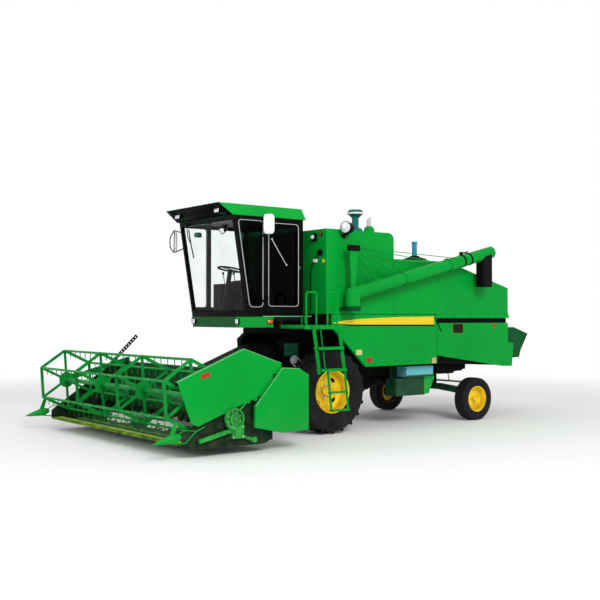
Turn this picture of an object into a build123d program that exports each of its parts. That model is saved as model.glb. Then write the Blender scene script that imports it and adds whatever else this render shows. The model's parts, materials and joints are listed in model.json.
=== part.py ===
from build123d import *
import os
from math import atan2, cos, degrees, radians, sin, sqrt

# Self-propelled combine harvester with a rigid grain header, in millimetres.
# +X is forward, +Y the left side, +Z up. The origin is on the ground, midway between the
# drive wheels, so X = 0 is the drive axle.

# Running gear
TRACK_HALF = 985
DRIVE_TYRE_R, DRIVE_TYRE_W = 632.5, 378
DRIVE_RIM_R, DRIVE_RIM_W = 325, 300
DRIVE_DISH, DRIVE_HUB_R = -60, 110
DRIVE_LUGS, DRIVE_LUG_H = 20, 30
STEER_X = -3150
STEER_TRACK_HALF = 1080
STEER_TYRE_R, STEER_TYRE_W = 360, 236
STEER_RIM_R, STEER_RIM_W = 217, 198
STEER_DISH, STEER_HUB_R = -12, 62
STEER_RIBS, STEER_GROOVE = 4, 8
LIP_H, LIP_T = 9, 10
HUB_IN, HUB_OUT = 40, 55
AXLE_R = 55
SPINDLE_R = 30
KINGPIN_Y, KINGPIN_R = 880, 24
BOSS_R, BOSS_LOW, BOSS_TOP = 55, 425, 575
AXLE_PIVOT_Z, AXLE_PIVOT_R = 525, 30
STEER_ARM, ARM_T = 170, 24.5
TIE_ROD_R, TIE_EYE_R, TIE_EYE_H = 16, 24, 36
RUN_FIT = 0.05
SEAT_GAP = 0.3

# Frame
RAIL_IN, RAIL_OUT, RAIL_REAR = 640, 740, -3330
HITCH_X, HITCH_Z, HITCH_T, HITCH_BORE_R = -3690, 835, 25, 16
REAR_TANK_FRONT, REAR_TANK_REAR, REAR_TANK_LOW, REAR_TANK_ROUND = -2410, -2830, 798, 55

# Body
HULL_HALF = 1100
PANEL_T = 50
SIDE_Y = HULL_HALF + PANEL_T
DECK_Z = 1800
BODY_FRONT, BODY_REAR = 140, -3980
SEAM_X, SEAM_LOW, SEAM_TOP = -2210, 1652, 1733
THRESHER_HALF, THRESHER_FRONT, THRESHER_TOP = 620, 560, 1650
ARCH_TOP_Z, ARCH_REAR_X, PANEL_LOW = 1603, -650, 985
TAIL_LOW, TAIL_TOP, TAIL_REAR = 890, 1300, -4130
HULL_REAR, HULL_TAIL = BODY_REAR + 20, TAIL_REAR + 10
TANK_REAR, TANK_TOP, TANK_WALL, TANK_ROUND = -1240, 3078, 20, 110
SCREEN_X, SCREEN_Z, SCREEN_R = -1750, 2250, 330
HOOD_TOP, HOOD_REAR_TOP, HOOD_BREAK_X, HOOD_WALL, HOOD_ROUND = 2680, 2290, -2550, 20, 45
STRAW_HALF, STRAW_SHEET = 700, 12
SHOE_HALF, BATTERY_GAP = 590, 20

# Cab
CAB_HALF, CAB_REAR = 780, 290
CAB_FLOOR, CAB_TOP, ROOF_TOP = 1790, 3225, 3390
CAB_FRONT_LOW, CAB_FRONT_TOP = 1300, 1535
CAB_WALL = 45
B_POST_X = 1010
PANE_T = 6
DOOR_FRONT, DOOR_REAR = B_POST_X - 30, CAB_REAR + 45
DOOR_LOW, DOOR_TOP = CAB_FLOOR + 20, CAB_TOP - 45
DOOR_T, DOOR_GAP = 34, 8
HINGE_X, HINGE_Y, HINGE_PIN_R, HINGE_H = B_POST_X - 27, CAB_HALF + 12, 6, 40
HINGE_HEIGHTS = (CAB_FLOOR + 220, CAB_TOP - 260)
PLATFORM_FRONT, PLATFORM_LOW, PLATFORM_TOP = 1450, 1600, 1755
PLATFORM_HALF, STEP_RIGHT = CAB_HALF + 20, 505
LANDING_Y, LANDING_Z, LANDING_H = SIDE_Y + 270, 1635, 60
LANDING_REAR, LANDING_FRONT = 60, 740
LADDER_IN, LADDER_OUT = LANDING_Y + 28, LANDING_Y + 86
LADDER_FRONT, LADDER_REAR, LADDER_SLANT = 615, 142, 64
HEADLAMP_Y = (PLATFORM_HALF - 50, -STEP_RIGHT + 55)

# Header
HEADER_HALF = 2000
END_SHEET_T = 6
BACK_X, BACK_TOP = 1800, 1000
FLOOR_Z = 130
KNIFE_X, KNIFE_Z = 3000, 170
THROAT_HALF, THROAT_TOP = 440, 720
AUGER_X, AUGER_Z, AUGER_TUBE_R, AUGER_R = 2130, 500, 130, 240
SECTORS, FLIGHT_T = 12, 6
REEL_X, REEL_Z, REEL_R = 2900, 770, 455
REEL_PHASE, REEL_SIDES, REEL_SPIDERS = 26, 6, 4
TINE_L, TINES_PER_BAT = 100, 22
REEL_ARM_Y, REEL_ARM_T = HEADER_HALF - 25, 24
REEL_HALF = REEL_ARM_Y - 35
REEL_PIVOT_X, REEL_PIVOT_Z = 1830, 1060
REEL_LIFT_X, REEL_LIFT_Z = 1990, 640
REEL_EYE_X, REEL_EYE_DROP = 2370, 75
REEL_EYE_HALF, REEL_PIN_R = 8, 8
REEL_PAD_R, REEL_PAD_T = 32, 8
SHIELD_Y = HEADER_HALF + END_SHEET_T + 52
COVER_Y, COVER_IN = SHIELD_Y + 46, HEADER_HALF - 160
KNIFE_DRIVE_X, KNIFE_DRIVE_Z, KNIFE_DRIVE_R = 2385, 465, 108
POINT_TIP_X, POINT_TIP_Z, POINT_R, POINT_L = 3525, 228, 58, 385
FEEDER_HINGE_X, FEEDER_HINGE_Z = 480, 1225
FEEDER_DEPTH, FEEDER_WALL, FEEDER_TOP_IN = 420, 10, 1350
LIFT_Y, LIFT_BASE_X, LIFT_BASE_Z, LIFT_PIN_R = 370, 330, 560, 20
LIFT_EYE_X, LIFT_EYE_Z = 1290, 430
EYE_HALF, LIFT_DRIFT, REEL_LIFT_DRIFT = 28, 7, 8

# Unloading auger
TURRET_X, TURRET_Y, TURRET_Z = -230, SIDE_Y + 180, 2100
UNLOAD_R, UNLOAD_RISE, UNLOAD_REACH = 100, 13.7, 3197
SPOUT_X, SPOUT_LOW, SPOUT_L, SPOUT_W, SPOUT_T = -3160, 2260, 230, 200, 12



def box(x0, x1, y0, y1, z0, z1):
    """Block between two corners."""
    return Pos((x0 + x1) / 2, (y0 + y1) / 2, (z0 + z1) / 2) * Box(abs(x1 - x0), abs(y1 - y0), abs(z1 - z0))


def plate_xz(points, y0, y1):
    """Side-view outline of (x, z) points, thick from y0 to y1."""
    plane = Plane(origin=(0, max(y0, y1), 0), x_dir=(1, 0, 0), z_dir=(0, -1, 0))
    return extrude(plane * Polygon(*points, align=None), abs(y1 - y0), dir=(0, -1, 0))


def rod(start, end, radius):
    """Round bar between two points."""
    a, b = Vector(*start), Vector(*end)
    return Plane(origin=(a + b) * 0.5, z_dir=b - a) * Cylinder(radius, (b - a).length)


def bar(start, end, width, height):
    """Square-cut bar between two points: width across, height in the vertical plane of the bar."""
    a, b = Vector(*start), Vector(*end)
    along = (b - a).normalized()
    side = along.cross(Vector(0, 0, 1))
    side = side.normalized() if side.length > 0.01 else Vector(0, 1, 0)
    return Plane(origin=(a + b) * 0.5, x_dir=side, z_dir=along) * Box(width, height, (b - a).length)


def disc_y(x, z, y0, y1, radius):
    """Cylinder lying along Y."""
    return rod((x, y0, z), (x, y1, z), radius)


def ring_y(x, z, y0, y1, outer, inner):
    """Hollow cylinder lying along Y."""
    return disc_y(x, z, y0, y1, outer) - disc_y(x, z, min(y0, y1) - 1, max(y0, y1) + 1, inner)


def bore_y(x, z, y0, y1, radius):
    """Cutting cylinder along Y that runs past both faces."""
    middle, half = (y0 + y1) / 2, abs(y1 - y0) / 2 + 10
    return disc_y(x, z, middle - half, middle + half, radius)


def bent_tube(points, bend, radius):
    """Round tube along straight runs joined by arcs."""
    path = FilletPolyline(*points, radius=bend)
    return sweep(Plane(origin=path @ 0, z_dir=path % 0) * Circle(radius), path)


def save(name, shapes):
    """Write one node from one solid or a list of separate solids."""
    if isinstance(shapes, (list, tuple)):
        solids = [solid for shape in shapes for solid in shape.solids()]
        shapes = Compound(children=solids)
    export_step(shapes, f"parts/{name}.step")


def at_angle(x, z, radius, turn):
    """Point on a circle in the side view."""
    return x + radius * cos(radians(turn)), z + radius * sin(radians(turn))


# Wheels

def carcass(x, y, z, radius, width, rim_radius, rim_width, tread):
    """Tyre body of revolution: beads seated inside the rim's lips, round walls, and the given tread line."""
    half = width / 2
    bead, seat = rim_radius - LIP_H + SEAT_GAP, rim_width / 2 - LIP_T - SEAT_GAP
    neck = rim_radius + SEAT_GAP
    waist, shoulder = (bead + radius) / 2, radius - 28
    section = make_face([
        Line((bead, -seat), (bead, seat)),
        Line((bead, seat), (neck, seat)),
        ThreePointArc((neck, seat), (waist, half), (shoulder, half * 0.93)),
        Line((shoulder, half * 0.93), (radius - 4, half * 0.80)),
        *tread,
        Line((radius - 4, -half * 0.80), (shoulder, -half * 0.93)),
        ThreePointArc((shoulder, -half * 0.93), (waist, -half), (neck, -seat)),
        Line((neck, -seat), (bead, -seat)),
    ])
    return revolve(Plane(origin=(x, y, z), x_dir=(1, 0, 0), z_dir=(0, 0, 1)) * section, Axis((x, y, z), (0, 1, 0)))


def lugged_tyre(x, y, z, radius, width, rim_radius, rim_width, lugs, lug_height):
    """Drive tyre with two rows of slanting lugs."""
    base, half = radius - lug_height, width / 2
    edge = half * 0.80
    tread = [ThreePointArc((base - 4, edge), (base, 0), (base - 4, -edge))]
    body = carcass(x, y, z, base, width, rim_radius, rim_width, tread)
    rows = []
    slant = 40
    half_chord = half * 0.49 * sin(radians(slant)) + width * 0.055 * cos(radians(slant))
    crest = sqrt(radius ** 2 - half_chord ** 2)
    for index in range(lugs):
        for row in (-1, 1):
            turn = 360 / lugs * (index + (0.25 if row > 0 else -0.25))
            lug = Box(lug_height + 34, half * 0.98, width * 0.11)
            lug = Pos(crest - 17 - lug_height / 2, row * half * 0.43, 0) * Rot(row * slant, 0, 0) * lug
            lug = lug & Pos(base, 0, 0) * Box(400, width * 0.93, 600)
            rows.append(Pos(x, y, z) * Rot(0, turn, 0) * lug)
    return body + rows


def ribbed_tyre(x, y, z, radius, width, rim_radius, rim_width, ribs, groove):
    """Steering tyre with plain ribs round its crown, parted by grooves as deep as they are wide."""
    edge = width / 2 * 0.80
    pitch = 2 * edge / ribs
    line = [(radius - 4, edge)]
    for index in range(1, ribs):
        middle = edge - index * pitch
        line += [(radius, middle + groove / 2), (radius - groove, middle + groove / 2),
                 (radius - groove, middle - groove / 2), (radius, middle - groove / 2)]
    line.append((radius - 4, -edge))
    tread = [Line(a, b) for a, b in zip(line, line[1:])]
    return carcass(x, y, z, radius, width, rim_radius, rim_width, tread)


def rim(x, y, z, radius, width, dish, hub_radius, bore, outward):
    """Pressed wheel: rolled lips, well, dished disc and hub, with the dish facing outward."""
    lip, half = radius, width / 2
    well = lip - 34
    seat = lip - LIP_H
    barrel = make_face(Polyline((seat, -half), (lip, -half), (lip, -half + LIP_T), (seat, -half + LIP_T),
                                (well + 12, -half * 0.45), (well + 12, half * 0.45), (seat, half - LIP_T),
                                (lip, half - LIP_T), (lip, half), (lip - 16, half), (well, half * 0.5),
                                (well, -half * 0.5), (lip - 16, -half), close=True))
    cap = dish + HUB_OUT + 3
    disc = make_face(Polyline((well + 1, dish * 0.35 - 6), (well + 1, dish * 0.35 + 6), (hub_radius + 20, dish + 8),
                              (hub_radius * 0.62, dish + 8), (hub_radius * 0.62, cap + 2),
                              (hub_radius * 0.5, cap + 12), (0, cap + 12), (0, cap), (bore, cap),
                              (bore, dish - HUB_IN), (hub_radius, dish - HUB_IN), (hub_radius, dish - 8),
                              (hub_radius + 20, dish - 8), close=True))
    plane = Plane(origin=(x, y, z), x_dir=(1, 0, 0), z_dir=(0, 0, outward))
    axis = Axis((x, y, z), (0, 1, 0))
    return revolve(plane * barrel, axis) + revolve(plane * disc, axis)


def wheels():
    for side, sign in (("left", 1), ("right", -1)):
        y = sign * TRACK_HALF
        save(f"drive_tyre_{side}", lugged_tyre(0, y, DRIVE_TYRE_R, DRIVE_TYRE_R, DRIVE_TYRE_W, DRIVE_RIM_R,
                                              DRIVE_RIM_W, DRIVE_LUGS, DRIVE_LUG_H))
        save(f"drive_rim_{side}", rim(0, y, DRIVE_TYRE_R, DRIVE_RIM_R, DRIVE_RIM_W, DRIVE_DISH, DRIVE_HUB_R,
                                     AXLE_R + RUN_FIT, sign))
        y = sign * STEER_TRACK_HALF
        save(f"steer_tyre_{side}", ribbed_tyre(STEER_X, y, STEER_TYRE_R, STEER_TYRE_R, STEER_TYRE_W, STEER_RIM_R,
                                              STEER_RIM_W, STEER_RIBS, STEER_GROOVE))
        save(f"steer_rim_{side}", rim(STEER_X, y, STEER_TYRE_R, STEER_RIM_R, STEER_RIM_W, STEER_DISH, STEER_HUB_R,
                                     SPINDLE_R + RUN_FIT, sign))


# Axles and frame

def drive_axle():
    hub_in = TRACK_HALF + DRIVE_DISH - HUB_IN - SEAT_GAP
    beam = box(-90, 90, -630, 630, 700, 880)
    gearbox = box(-150, 250, -190, 190, 520, 880)
    bevel = disc_y(-60, 640, -240, 240, 130)
    ends = [beam, gearbox, bevel]
    for sign in (1, -1):
        ends.append(disc_y(0, DRIVE_TYRE_R, sign * 560, sign * 700, 190))
        ends.append(box(-120, 120, sign * 560, sign * 630, 632, 880))
        ends.append(disc_y(0, DRIVE_TYRE_R, sign * 700, sign * hub_in, 95))
        ends.append(disc_y(0, DRIVE_TYRE_R, sign * hub_in, sign * (TRACK_HALF + DRIVE_DISH + HUB_OUT), AXLE_R))
        for offset in (-EYE_HALF - 14, EYE_HALF + 2):
            y0, y1 = sign * (LIFT_Y + offset), sign * (LIFT_Y + offset + 12)
            ends.append(plate_xz([(60, 515), (LIFT_BASE_X, 515), (LIFT_BASE_X + 45, LIFT_BASE_Z),
                                  (LIFT_BASE_X, 610), (60, 800)], y0, y1))
        ends.append(disc_y(LIFT_BASE_X, LIFT_BASE_Z, sign * (LIFT_Y - EYE_HALF - 14),
                           sign * (LIFT_Y + EYE_HALF + 14), LIFT_PIN_R))
    whole = ends[0]
    for piece in ends[1:]:
        whole = whole + piece
    save("drive_axle", whole)


def chassis_frame():
    rails = []
    for sign in (1, -1):
        rails.append(plate_xz([(THRESHER_FRONT - 60, 905), (THRESHER_FRONT - 60, PANEL_LOW - 5), (-2200, PANEL_LOW - 5),
                               (RAIL_REAR, 926), (RAIL_REAR, 850), (-3000, 800), (-700, 800), (0, 850)],
                              sign * RAIL_IN, sign * RAIL_OUT))
    frame = rails[0] + rails[1]
    for x, low, high in ((310, 905, 960), (0, 880, 925)):
        frame = frame + box(x - 40, x + 40, -RAIL_IN - 20, RAIL_IN + 20, low, high)
    for x in (STEER_X + 90, STEER_X - 90):
        frame = frame + box(x - 15, x + 15, -120, 120, AXLE_PIVOT_Z - 65, 860)
    frame = frame + box(RAIL_REAR, STEER_X + 150, -RAIL_IN - 20, RAIL_IN + 20, 810, 870)
    frame = frame - rod((STEER_X - 110, 0, AXLE_PIVOT_Z), (STEER_X + 110, 0, AXLE_PIVOT_Z), AXLE_PIVOT_R + RUN_FIT)
    hitch = box(HITCH_X - 40, RAIL_REAR + 60, -60, 60, HITCH_Z - HITCH_T, HITCH_Z)
    frame = frame + (hitch - Pos(HITCH_X, 0, HITCH_Z) * Cylinder(HITCH_BORE_R, 4 * HITCH_T))
    tank = box(REAR_TANK_REAR, REAR_TANK_FRONT, RAIL_OUT + SEAT_GAP, HULL_HALF - 150, REAR_TANK_LOW, 945)
    low_edges = tank.edges().filter_by(Axis.Y).group_by(Axis.Z)[0]
    save("chassis_frame", [frame, fillet(low_edges, REAR_TANK_ROUND)])


def rear_axle():
    half = BOSS_R + 5
    inner = 300
    beam = plate_yz([(-KINGPIN_Y + 35, 430), (-KINGPIN_Y + 35, 530), (-inner, AXLE_PIVOT_Z + 50), (inner, AXLE_PIVOT_Z + 50),
                     (KINGPIN_Y - 35, 530), (KINGPIN_Y - 35, 430), (inner, AXLE_PIVOT_Z - 50),
                     (-inner, AXLE_PIVOT_Z - 50)], STEER_X - half, STEER_X + half)
    for sign in (1, -1):
        middle = Pos(STEER_X, sign * KINGPIN_Y, (BOSS_LOW + BOSS_TOP) / 2)
        beam = beam + middle * Cylinder(BOSS_R, BOSS_TOP - BOSS_LOW)
        beam = beam - middle * Cylinder(KINGPIN_R + RUN_FIT, 2 * (BOSS_TOP - BOSS_LOW))
    beam = beam + rod((STEER_X - 125, 0, AXLE_PIVOT_Z), (STEER_X + 125, 0, AXLE_PIVOT_Z), AXLE_PIVOT_R)
    save("rear_axle", beam)


def plate_yz(points, x0, x1):
    """Front-view outline of (y, z) points, thick from x0 to x1."""
    plane = Plane(origin=(min(x0, x1), 0, 0), x_dir=(0, 1, 0), z_dir=(1, 0, 0))
    return extrude(plane * Polygon(*points, align=None), abs(x1 - x0), dir=(1, 0, 0))


def plate_xy(points, z0, z1):
    """Plan outline of (x, y) points, thick from z0 to z1."""
    plane = Plane(origin=(0, 0, min(z0, z1)), x_dir=(1, 0, 0), z_dir=(0, 0, 1))
    return extrude(plane * Polygon(*points, align=None), abs(z1 - z0), dir=(0, 0, 1))


def knuckles():
    arm_low = BOSS_TOP + 0.5
    arm_top = arm_low + ARM_T
    foot_top = BOSS_LOW - 10
    face = STEER_TRACK_HALF + STEER_DISH - HUB_IN - SEAT_GAP
    for side, sign in (("left", 1), ("right", -1)):
        pin = Pos(STEER_X, sign * KINGPIN_Y, (foot_top - 20 + arm_low + 10) / 2) * Cylinder(
            KINGPIN_R, arm_low + 10 - (foot_top - 20))
        foot = box(STEER_X - BOSS_R, STEER_X + BOSS_R, sign * (KINGPIN_Y - BOSS_R), sign * (KINGPIN_Y + BOSS_R),
                   STEER_TYRE_R - 60, foot_top)
        collar = disc_y(STEER_X, STEER_TYRE_R, sign * (KINGPIN_Y + BOSS_R - 5), sign * face, 48)
        spindle = disc_y(STEER_X, STEER_TYRE_R, sign * face, sign * (STEER_TRACK_HALF + STEER_DISH + HUB_OUT), SPINDLE_R)
        arm = box(STEER_X - STEER_ARM, STEER_X + 40, sign * (KINGPIN_Y - 34), sign * (KINGPIN_Y + 34),
                  arm_low, arm_top)
        save(f"knuckle_{side}", pin + foot + collar + spindle + arm)
    tie_x, tie_y, tie_z = STEER_X - STEER_ARM + 22, KINGPIN_Y - 20, arm_top + SEAT_GAP + TIE_EYE_H / 2
    tie = rod((tie_x, -tie_y, tie_z), (tie_x, tie_y, tie_z), TIE_ROD_R)
    for sign in (1, -1):
        tie = tie + Pos(tie_x, sign * tie_y, tie_z) * Cylinder(TIE_EYE_R, TIE_EYE_H)
    save("tie_rod", tie)


# Body

def separator_hull():
    wide = plate_xz([(BODY_FRONT, DECK_Z), (BODY_FRONT, 1660), (0, ARCH_TOP_Z), (ARCH_REAR_X, PANEL_LOW),
                     (-2200, PANEL_LOW), (-3850, TAIL_LOW + 20), (TAIL_REAR + 60, TAIL_LOW + 10),
                     (HULL_TAIL, TAIL_TOP - 20), (HULL_REAR, TAIL_TOP), (HULL_REAR, DECK_Z)],
                    -HULL_HALF, HULL_HALF)
    narrow = plate_xz([(-900, THRESHER_TOP), (THRESHER_FRONT - 120, THRESHER_TOP), (THRESHER_FRONT - 120, 1500),
                       (THRESHER_FRONT, 1400), (THRESHER_FRONT - 20, 1150), (THRESHER_FRONT - 140, PANEL_LOW),
                       (-900, PANEL_LOW)], -THRESHER_HALF, THRESHER_HALF)
    mouth = box(150, THRESHER_FRONT + 1, -THROAT_HALF - 60, THROAT_HALF + 60, PANEL_LOW - 1, 1470)
    hull = wide + (narrow - mouth)
    save("separator_hull", hull)


def side_panels():
    for side, sign in (("left", 1), ("right", -1)):
        inner, outer = sign * HULL_HALF, sign * SIDE_Y
        lower = plate_xz([(30, SEAM_TOP + 60), (30, ARCH_TOP_Z), (ARCH_REAR_X, PANEL_LOW), (SEAM_X, PANEL_LOW + 5),
                          (SEAM_X, SEAM_TOP + 60)], inner, outer)
        rear = plate_xz([(SEAM_X - 8, SEAM_LOW), (SEAM_X - 8, 1120), (-3847, TAIL_LOW + 6), (-4085, TAIL_LOW),
                         (TAIL_REAR, TAIL_TOP - 6), (BODY_REAR, TAIL_TOP + 10), (BODY_REAR, SEAM_LOW)],
                        inner, outer)
        upper = plate_xz([(SEAM_X - 8, SEAM_TOP), (BODY_REAR - 40, SEAM_TOP), (BODY_REAR, DECK_Z + 40),
                          (BODY_REAR, HOOD_REAR_TOP - 30), (HOOD_BREAK_X, HOOD_TOP - 30),
                          (TANK_REAR - 6, HOOD_TOP - 30), (TANK_REAR - 6, SEAM_TOP + 68),
                          (SEAM_X - 8, SEAM_TOP + 68)], inner, outer)
        if sign < 0:
            upper = upper - bore_y(SCREEN_X, SCREEN_Z, inner, outer, SCREEN_R + 8)
        save(f"side_panels_{side}", [lower, rear, upper])


def grain_tank():
    shell = box(TANK_REAR, BODY_FRONT, -SIDE_Y, SIDE_Y, DECK_Z, TANK_TOP)
    rear_edge = shell.edges().filter_by(Axis.Y).group_by(Axis.Z)[-1].sort_by(Axis.X)[0]
    shell = fillet(rear_edge, TANK_ROUND)
    hopper, slope = DECK_Z + 520, TANK_ROUND - 20
    middle = (TANK_REAR + BODY_FRONT) / 2
    inside = plate_xz([(BODY_FRONT - TANK_WALL, hopper), (BODY_FRONT - TANK_WALL, TANK_TOP + 5),
                       (TANK_REAR + slope, TANK_TOP + 5), (TANK_REAR + TANK_WALL, TANK_TOP - slope + 10),
                       (TANK_REAR + TANK_WALL, hopper), (middle - 160, DECK_Z + 130), (middle + 160, DECK_Z + 130)],
                      -SIDE_Y + TANK_WALL, SIDE_Y - TANK_WALL)
    save("grain_tank", shell - inside)


def rear_hood():
    outer = plate_xz([(TANK_REAR - SEAT_GAP, DECK_Z), (TANK_REAR - SEAT_GAP, HOOD_TOP), (HOOD_BREAK_X, HOOD_TOP),
                      (BODY_REAR, HOOD_REAR_TOP), (BODY_REAR, DECK_Z)], -HULL_HALF, HULL_HALF)
    top_edges = [edge for edge in outer.edges() if abs(abs(edge.center().Y) - HULL_HALF) < 1
                 and edge.center().Z > HOOD_REAR_TOP + 10 and edge.center().X < TANK_REAR - 10]
    outer = fillet(top_edges, HOOD_ROUND)
    hollow = plate_xz([(TANK_REAR - HOOD_WALL, DECK_Z - 1), (TANK_REAR - HOOD_WALL, HOOD_TOP - HOOD_WALL),
                       (HOOD_BREAK_X, HOOD_TOP - HOOD_WALL), (HOOD_BREAK_X, DECK_Z - 1)],
                      -HULL_HALF + HOOD_WALL, HULL_HALF - HOOD_WALL)
    hollow_rear = plate_xz([(HOOD_BREAK_X - HOOD_WALL, DECK_Z - 1), (HOOD_BREAK_X - HOOD_WALL, HOOD_TOP - 34),
                            (BODY_REAR + HOOD_WALL, HOOD_REAR_TOP - 22), (BODY_REAR + HOOD_WALL, DECK_Z - 1)],
                           -HULL_HALF + HOOD_WALL, HULL_HALF - HOOD_WALL)
    save("rear_hood", outer - hollow - hollow_rear)
    save("engine_block", box(-2150, -1350, -620, 380, DECK_Z, 2560))


def stacks():
    cap_x, cap_z, can_top, can_r = -1430, 3566, 3265, 135
    can = rod((cap_x, 0, HOOD_TOP), (cap_x, 0, can_top), can_r)
    can = fillet(can.edges().sort_by(Axis.Z)[-1], can_r * 0.6)
    neck = rod((cap_x, 0, can_top - 20), (cap_x, 0, cap_z - 120), 58)
    cap = Pos(cap_x, 0, cap_z - 120) * Cylinder(70, 30) + Pos(cap_x, 0, cap_z - 92) * Cone(80, 132, 50)
    cap = cap + Pos(cap_x, 0, cap_z - 52) * Cylinder(118, 30) + Pos(cap_x, 0, cap_z - 20) * Cone(135, 110, 40)
    save("air_intake", can + neck + cap)
    pipe = rod((-1960, -250, HOOD_TOP), (-1960, -250, 3450), 38)
    pipe = pipe + rod((-1960, -250, HOOD_TOP), (-1960, -250, HOOD_TOP + 20), 90)
    flap = Pos(-1975, -250, 3475) * Rot(0, 35, 0) * Cylinder(42, 4)
    save("exhaust_pipe", pipe + flap + rod((-1925, -250, 3440), (-1945, -250, 3475), 6))
    filler = rod((-2040, 800, HOOD_TOP), (-2040, 800, 3000), 42)
    filler = filler + Pos(-2040, 800, HOOD_TOP + 8) * Cylinder(130, 16) + Pos(-2040, 800, 2990) * Cylinder(48, 30)
    save("filler_neck", filler)
    screen = ring_y(SCREEN_X, SCREEN_Z, -HULL_HALF, -HULL_HALF - 90, SCREEN_R, SCREEN_R - 25)
    screen = screen + disc_y(SCREEN_X, SCREEN_Z, -HULL_HALF, -HULL_HALF - 60, SCREEN_R - 24)
    save("radiator_screen", screen)


def straw_hood():
    front, step, over = HULL_REAR - SEAT_GAP, HULL_TAIL - SEAT_GAP, TAIL_TOP + 20
    outer = plate_xz([(front, over), (front, 1480), (-4494, 1536), (-4679, 1567), (-5079, 1441), (-4870, 1130),
                      (-4829, 1010), (step, 1000), (step, over)], -STRAW_HALF, STRAW_HALF)
    inner = plate_xz([(front + 5, over + STRAW_SHEET), (front + 5, 1480 - STRAW_SHEET), (-4494, 1536 - STRAW_SHEET),
                      (-4679, 1567 - STRAW_SHEET), (-5300, 1359), (-5300, 900), (step + 5, 900),
                      (step + 5, over + STRAW_SHEET)], -STRAW_HALF + STRAW_SHEET, STRAW_HALF - STRAW_SHEET)
    save("straw_hood", outer - inner)


def cleaning_shoe():
    trough = plate_xz([(-760, PANEL_LOW), (-820, 760), (-1000, 600), (-1200, 590), (-1420, 740), (-1620, 620),
                       (-1820, 600), (-2050, 740), (-2980, 900), (-2980, 940), (-2200, PANEL_LOW)],
                      -SHOE_HALF, SHOE_HALF)
    pulleys = [disc_y(x, 690, SHOE_HALF, SHOE_HALF + 50, radius) - ring_y(x, 690, SHOE_HALF + 12, SHOE_HALF + 38,
                                                                          radius + 1, radius - 14)
               for x, radius in ((-1100, 110), (-1720, 90))]
    save("cleaning_shoe", trough + pulleys)
    inside, face = RAIL_OUT + BATTERY_GAP, HULL_HALF - 100
    case = box(-2070, -1420, inside, face, 477, 758)
    gusset = plate_xz([(-2060, 485), (-2165, 495), (-2300, 765), (-2060, 765)], face - 12, face)
    tray = box(-2250, -1610, inside + 10, face + 40, 765, 777) + box(-2250, -1610, face + 32, face + 40, 765, 806)
    carrier = box(-2200, -1500, inside, inside + 15, 700, PANEL_LOW)
    battery = box(-2235, -1630, inside + 35, face + 30, 777 + SEAT_GAP, 950)
    for x in (-2080, -1780):
        battery = battery + Pos(x, inside + 90, 955) * Cylinder(12, 26)
    save("battery_box", [case + gusset + tray + carrier, battery])


# Cab

def platform():
    rear = BODY_FRONT + 30
    deck = box(rear, CAB_FRONT_LOW, -PLATFORM_HALF, PLATFORM_HALF, PLATFORM_TOP - 20, PLATFORM_TOP)
    deck = deck + box(CAB_FRONT_LOW - 1, PLATFORM_FRONT, -STEP_RIGHT, PLATFORM_HALF, PLATFORM_TOP - 20, PLATFORM_TOP)
    beam = box(PLATFORM_FRONT - 60, PLATFORM_FRONT, -STEP_RIGHT, PLATFORM_HALF, PLATFORM_LOW, PLATFORM_TOP)
    skirt = box(860, PLATFORM_FRONT, PLATFORM_HALF - 40, PLATFORM_HALF, PLATFORM_LOW, PLATFORM_TOP)
    curb = box(rear, 860, PLATFORM_HALF - 40, PLATFORM_HALF, PLATFORM_TOP - 60, PLATFORM_TOP)
    far_skirt = box(rear, CAB_FRONT_LOW, -PLATFORM_HALF, -PLATFORM_HALF + 40, PLATFORM_LOW + 60, PLATFORM_TOP)
    carriers = [box(BODY_FRONT, PLATFORM_FRONT - 50, s * 440, s * 500, THRESHER_TOP, PLATFORM_TOP - 10)
                for s in (1, -1)]
    landing = plate_xy([(LANDING_REAR + 90, CAB_HALF), (LANDING_FRONT, CAB_HALF), (LANDING_FRONT, LANDING_Y),
                        (LANDING_REAR, LANDING_Y), (LANDING_REAR, SIDE_Y + 10), (LANDING_REAR + 90, SIDE_Y + 10)],
                       LANDING_Z - 25, LANDING_Z)
    edge = box(LANDING_REAR, LANDING_FRONT, LANDING_Y - 30, LANDING_Y, LANDING_Z - LANDING_H, LANDING_Z)
    ties = [box(x, x + 50, CAB_HALF - 20, LANDING_Y - 10, LANDING_Z - 50, LANDING_Z - 10)
            for x in (LANDING_REAR + 120, LANDING_FRONT - 60)]
    hangers = [box(x, x + 50, CAB_HALF - 20, PLATFORM_HALF, LANDING_Z - 50, PLATFORM_TOP - 10)
               for x in (LANDING_REAR + 120, LANDING_FRONT - 60)]
    hull_tie = box(BODY_FRONT, CAB_REAR, -600, 600, 1700, PLATFORM_TOP)
    whole = deck + beam + skirt + curb + far_skirt + carriers[0] + carriers[1] + landing + edge + hull_tie
    save("platform", whole + ties + hangers)


def ladder_x(x, z):
    """How a stile that stands at x on the landing leans back towards its foot."""
    return x - LADDER_SLANT * (LANDING_Z - z) / (LANDING_Z - 930)


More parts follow.
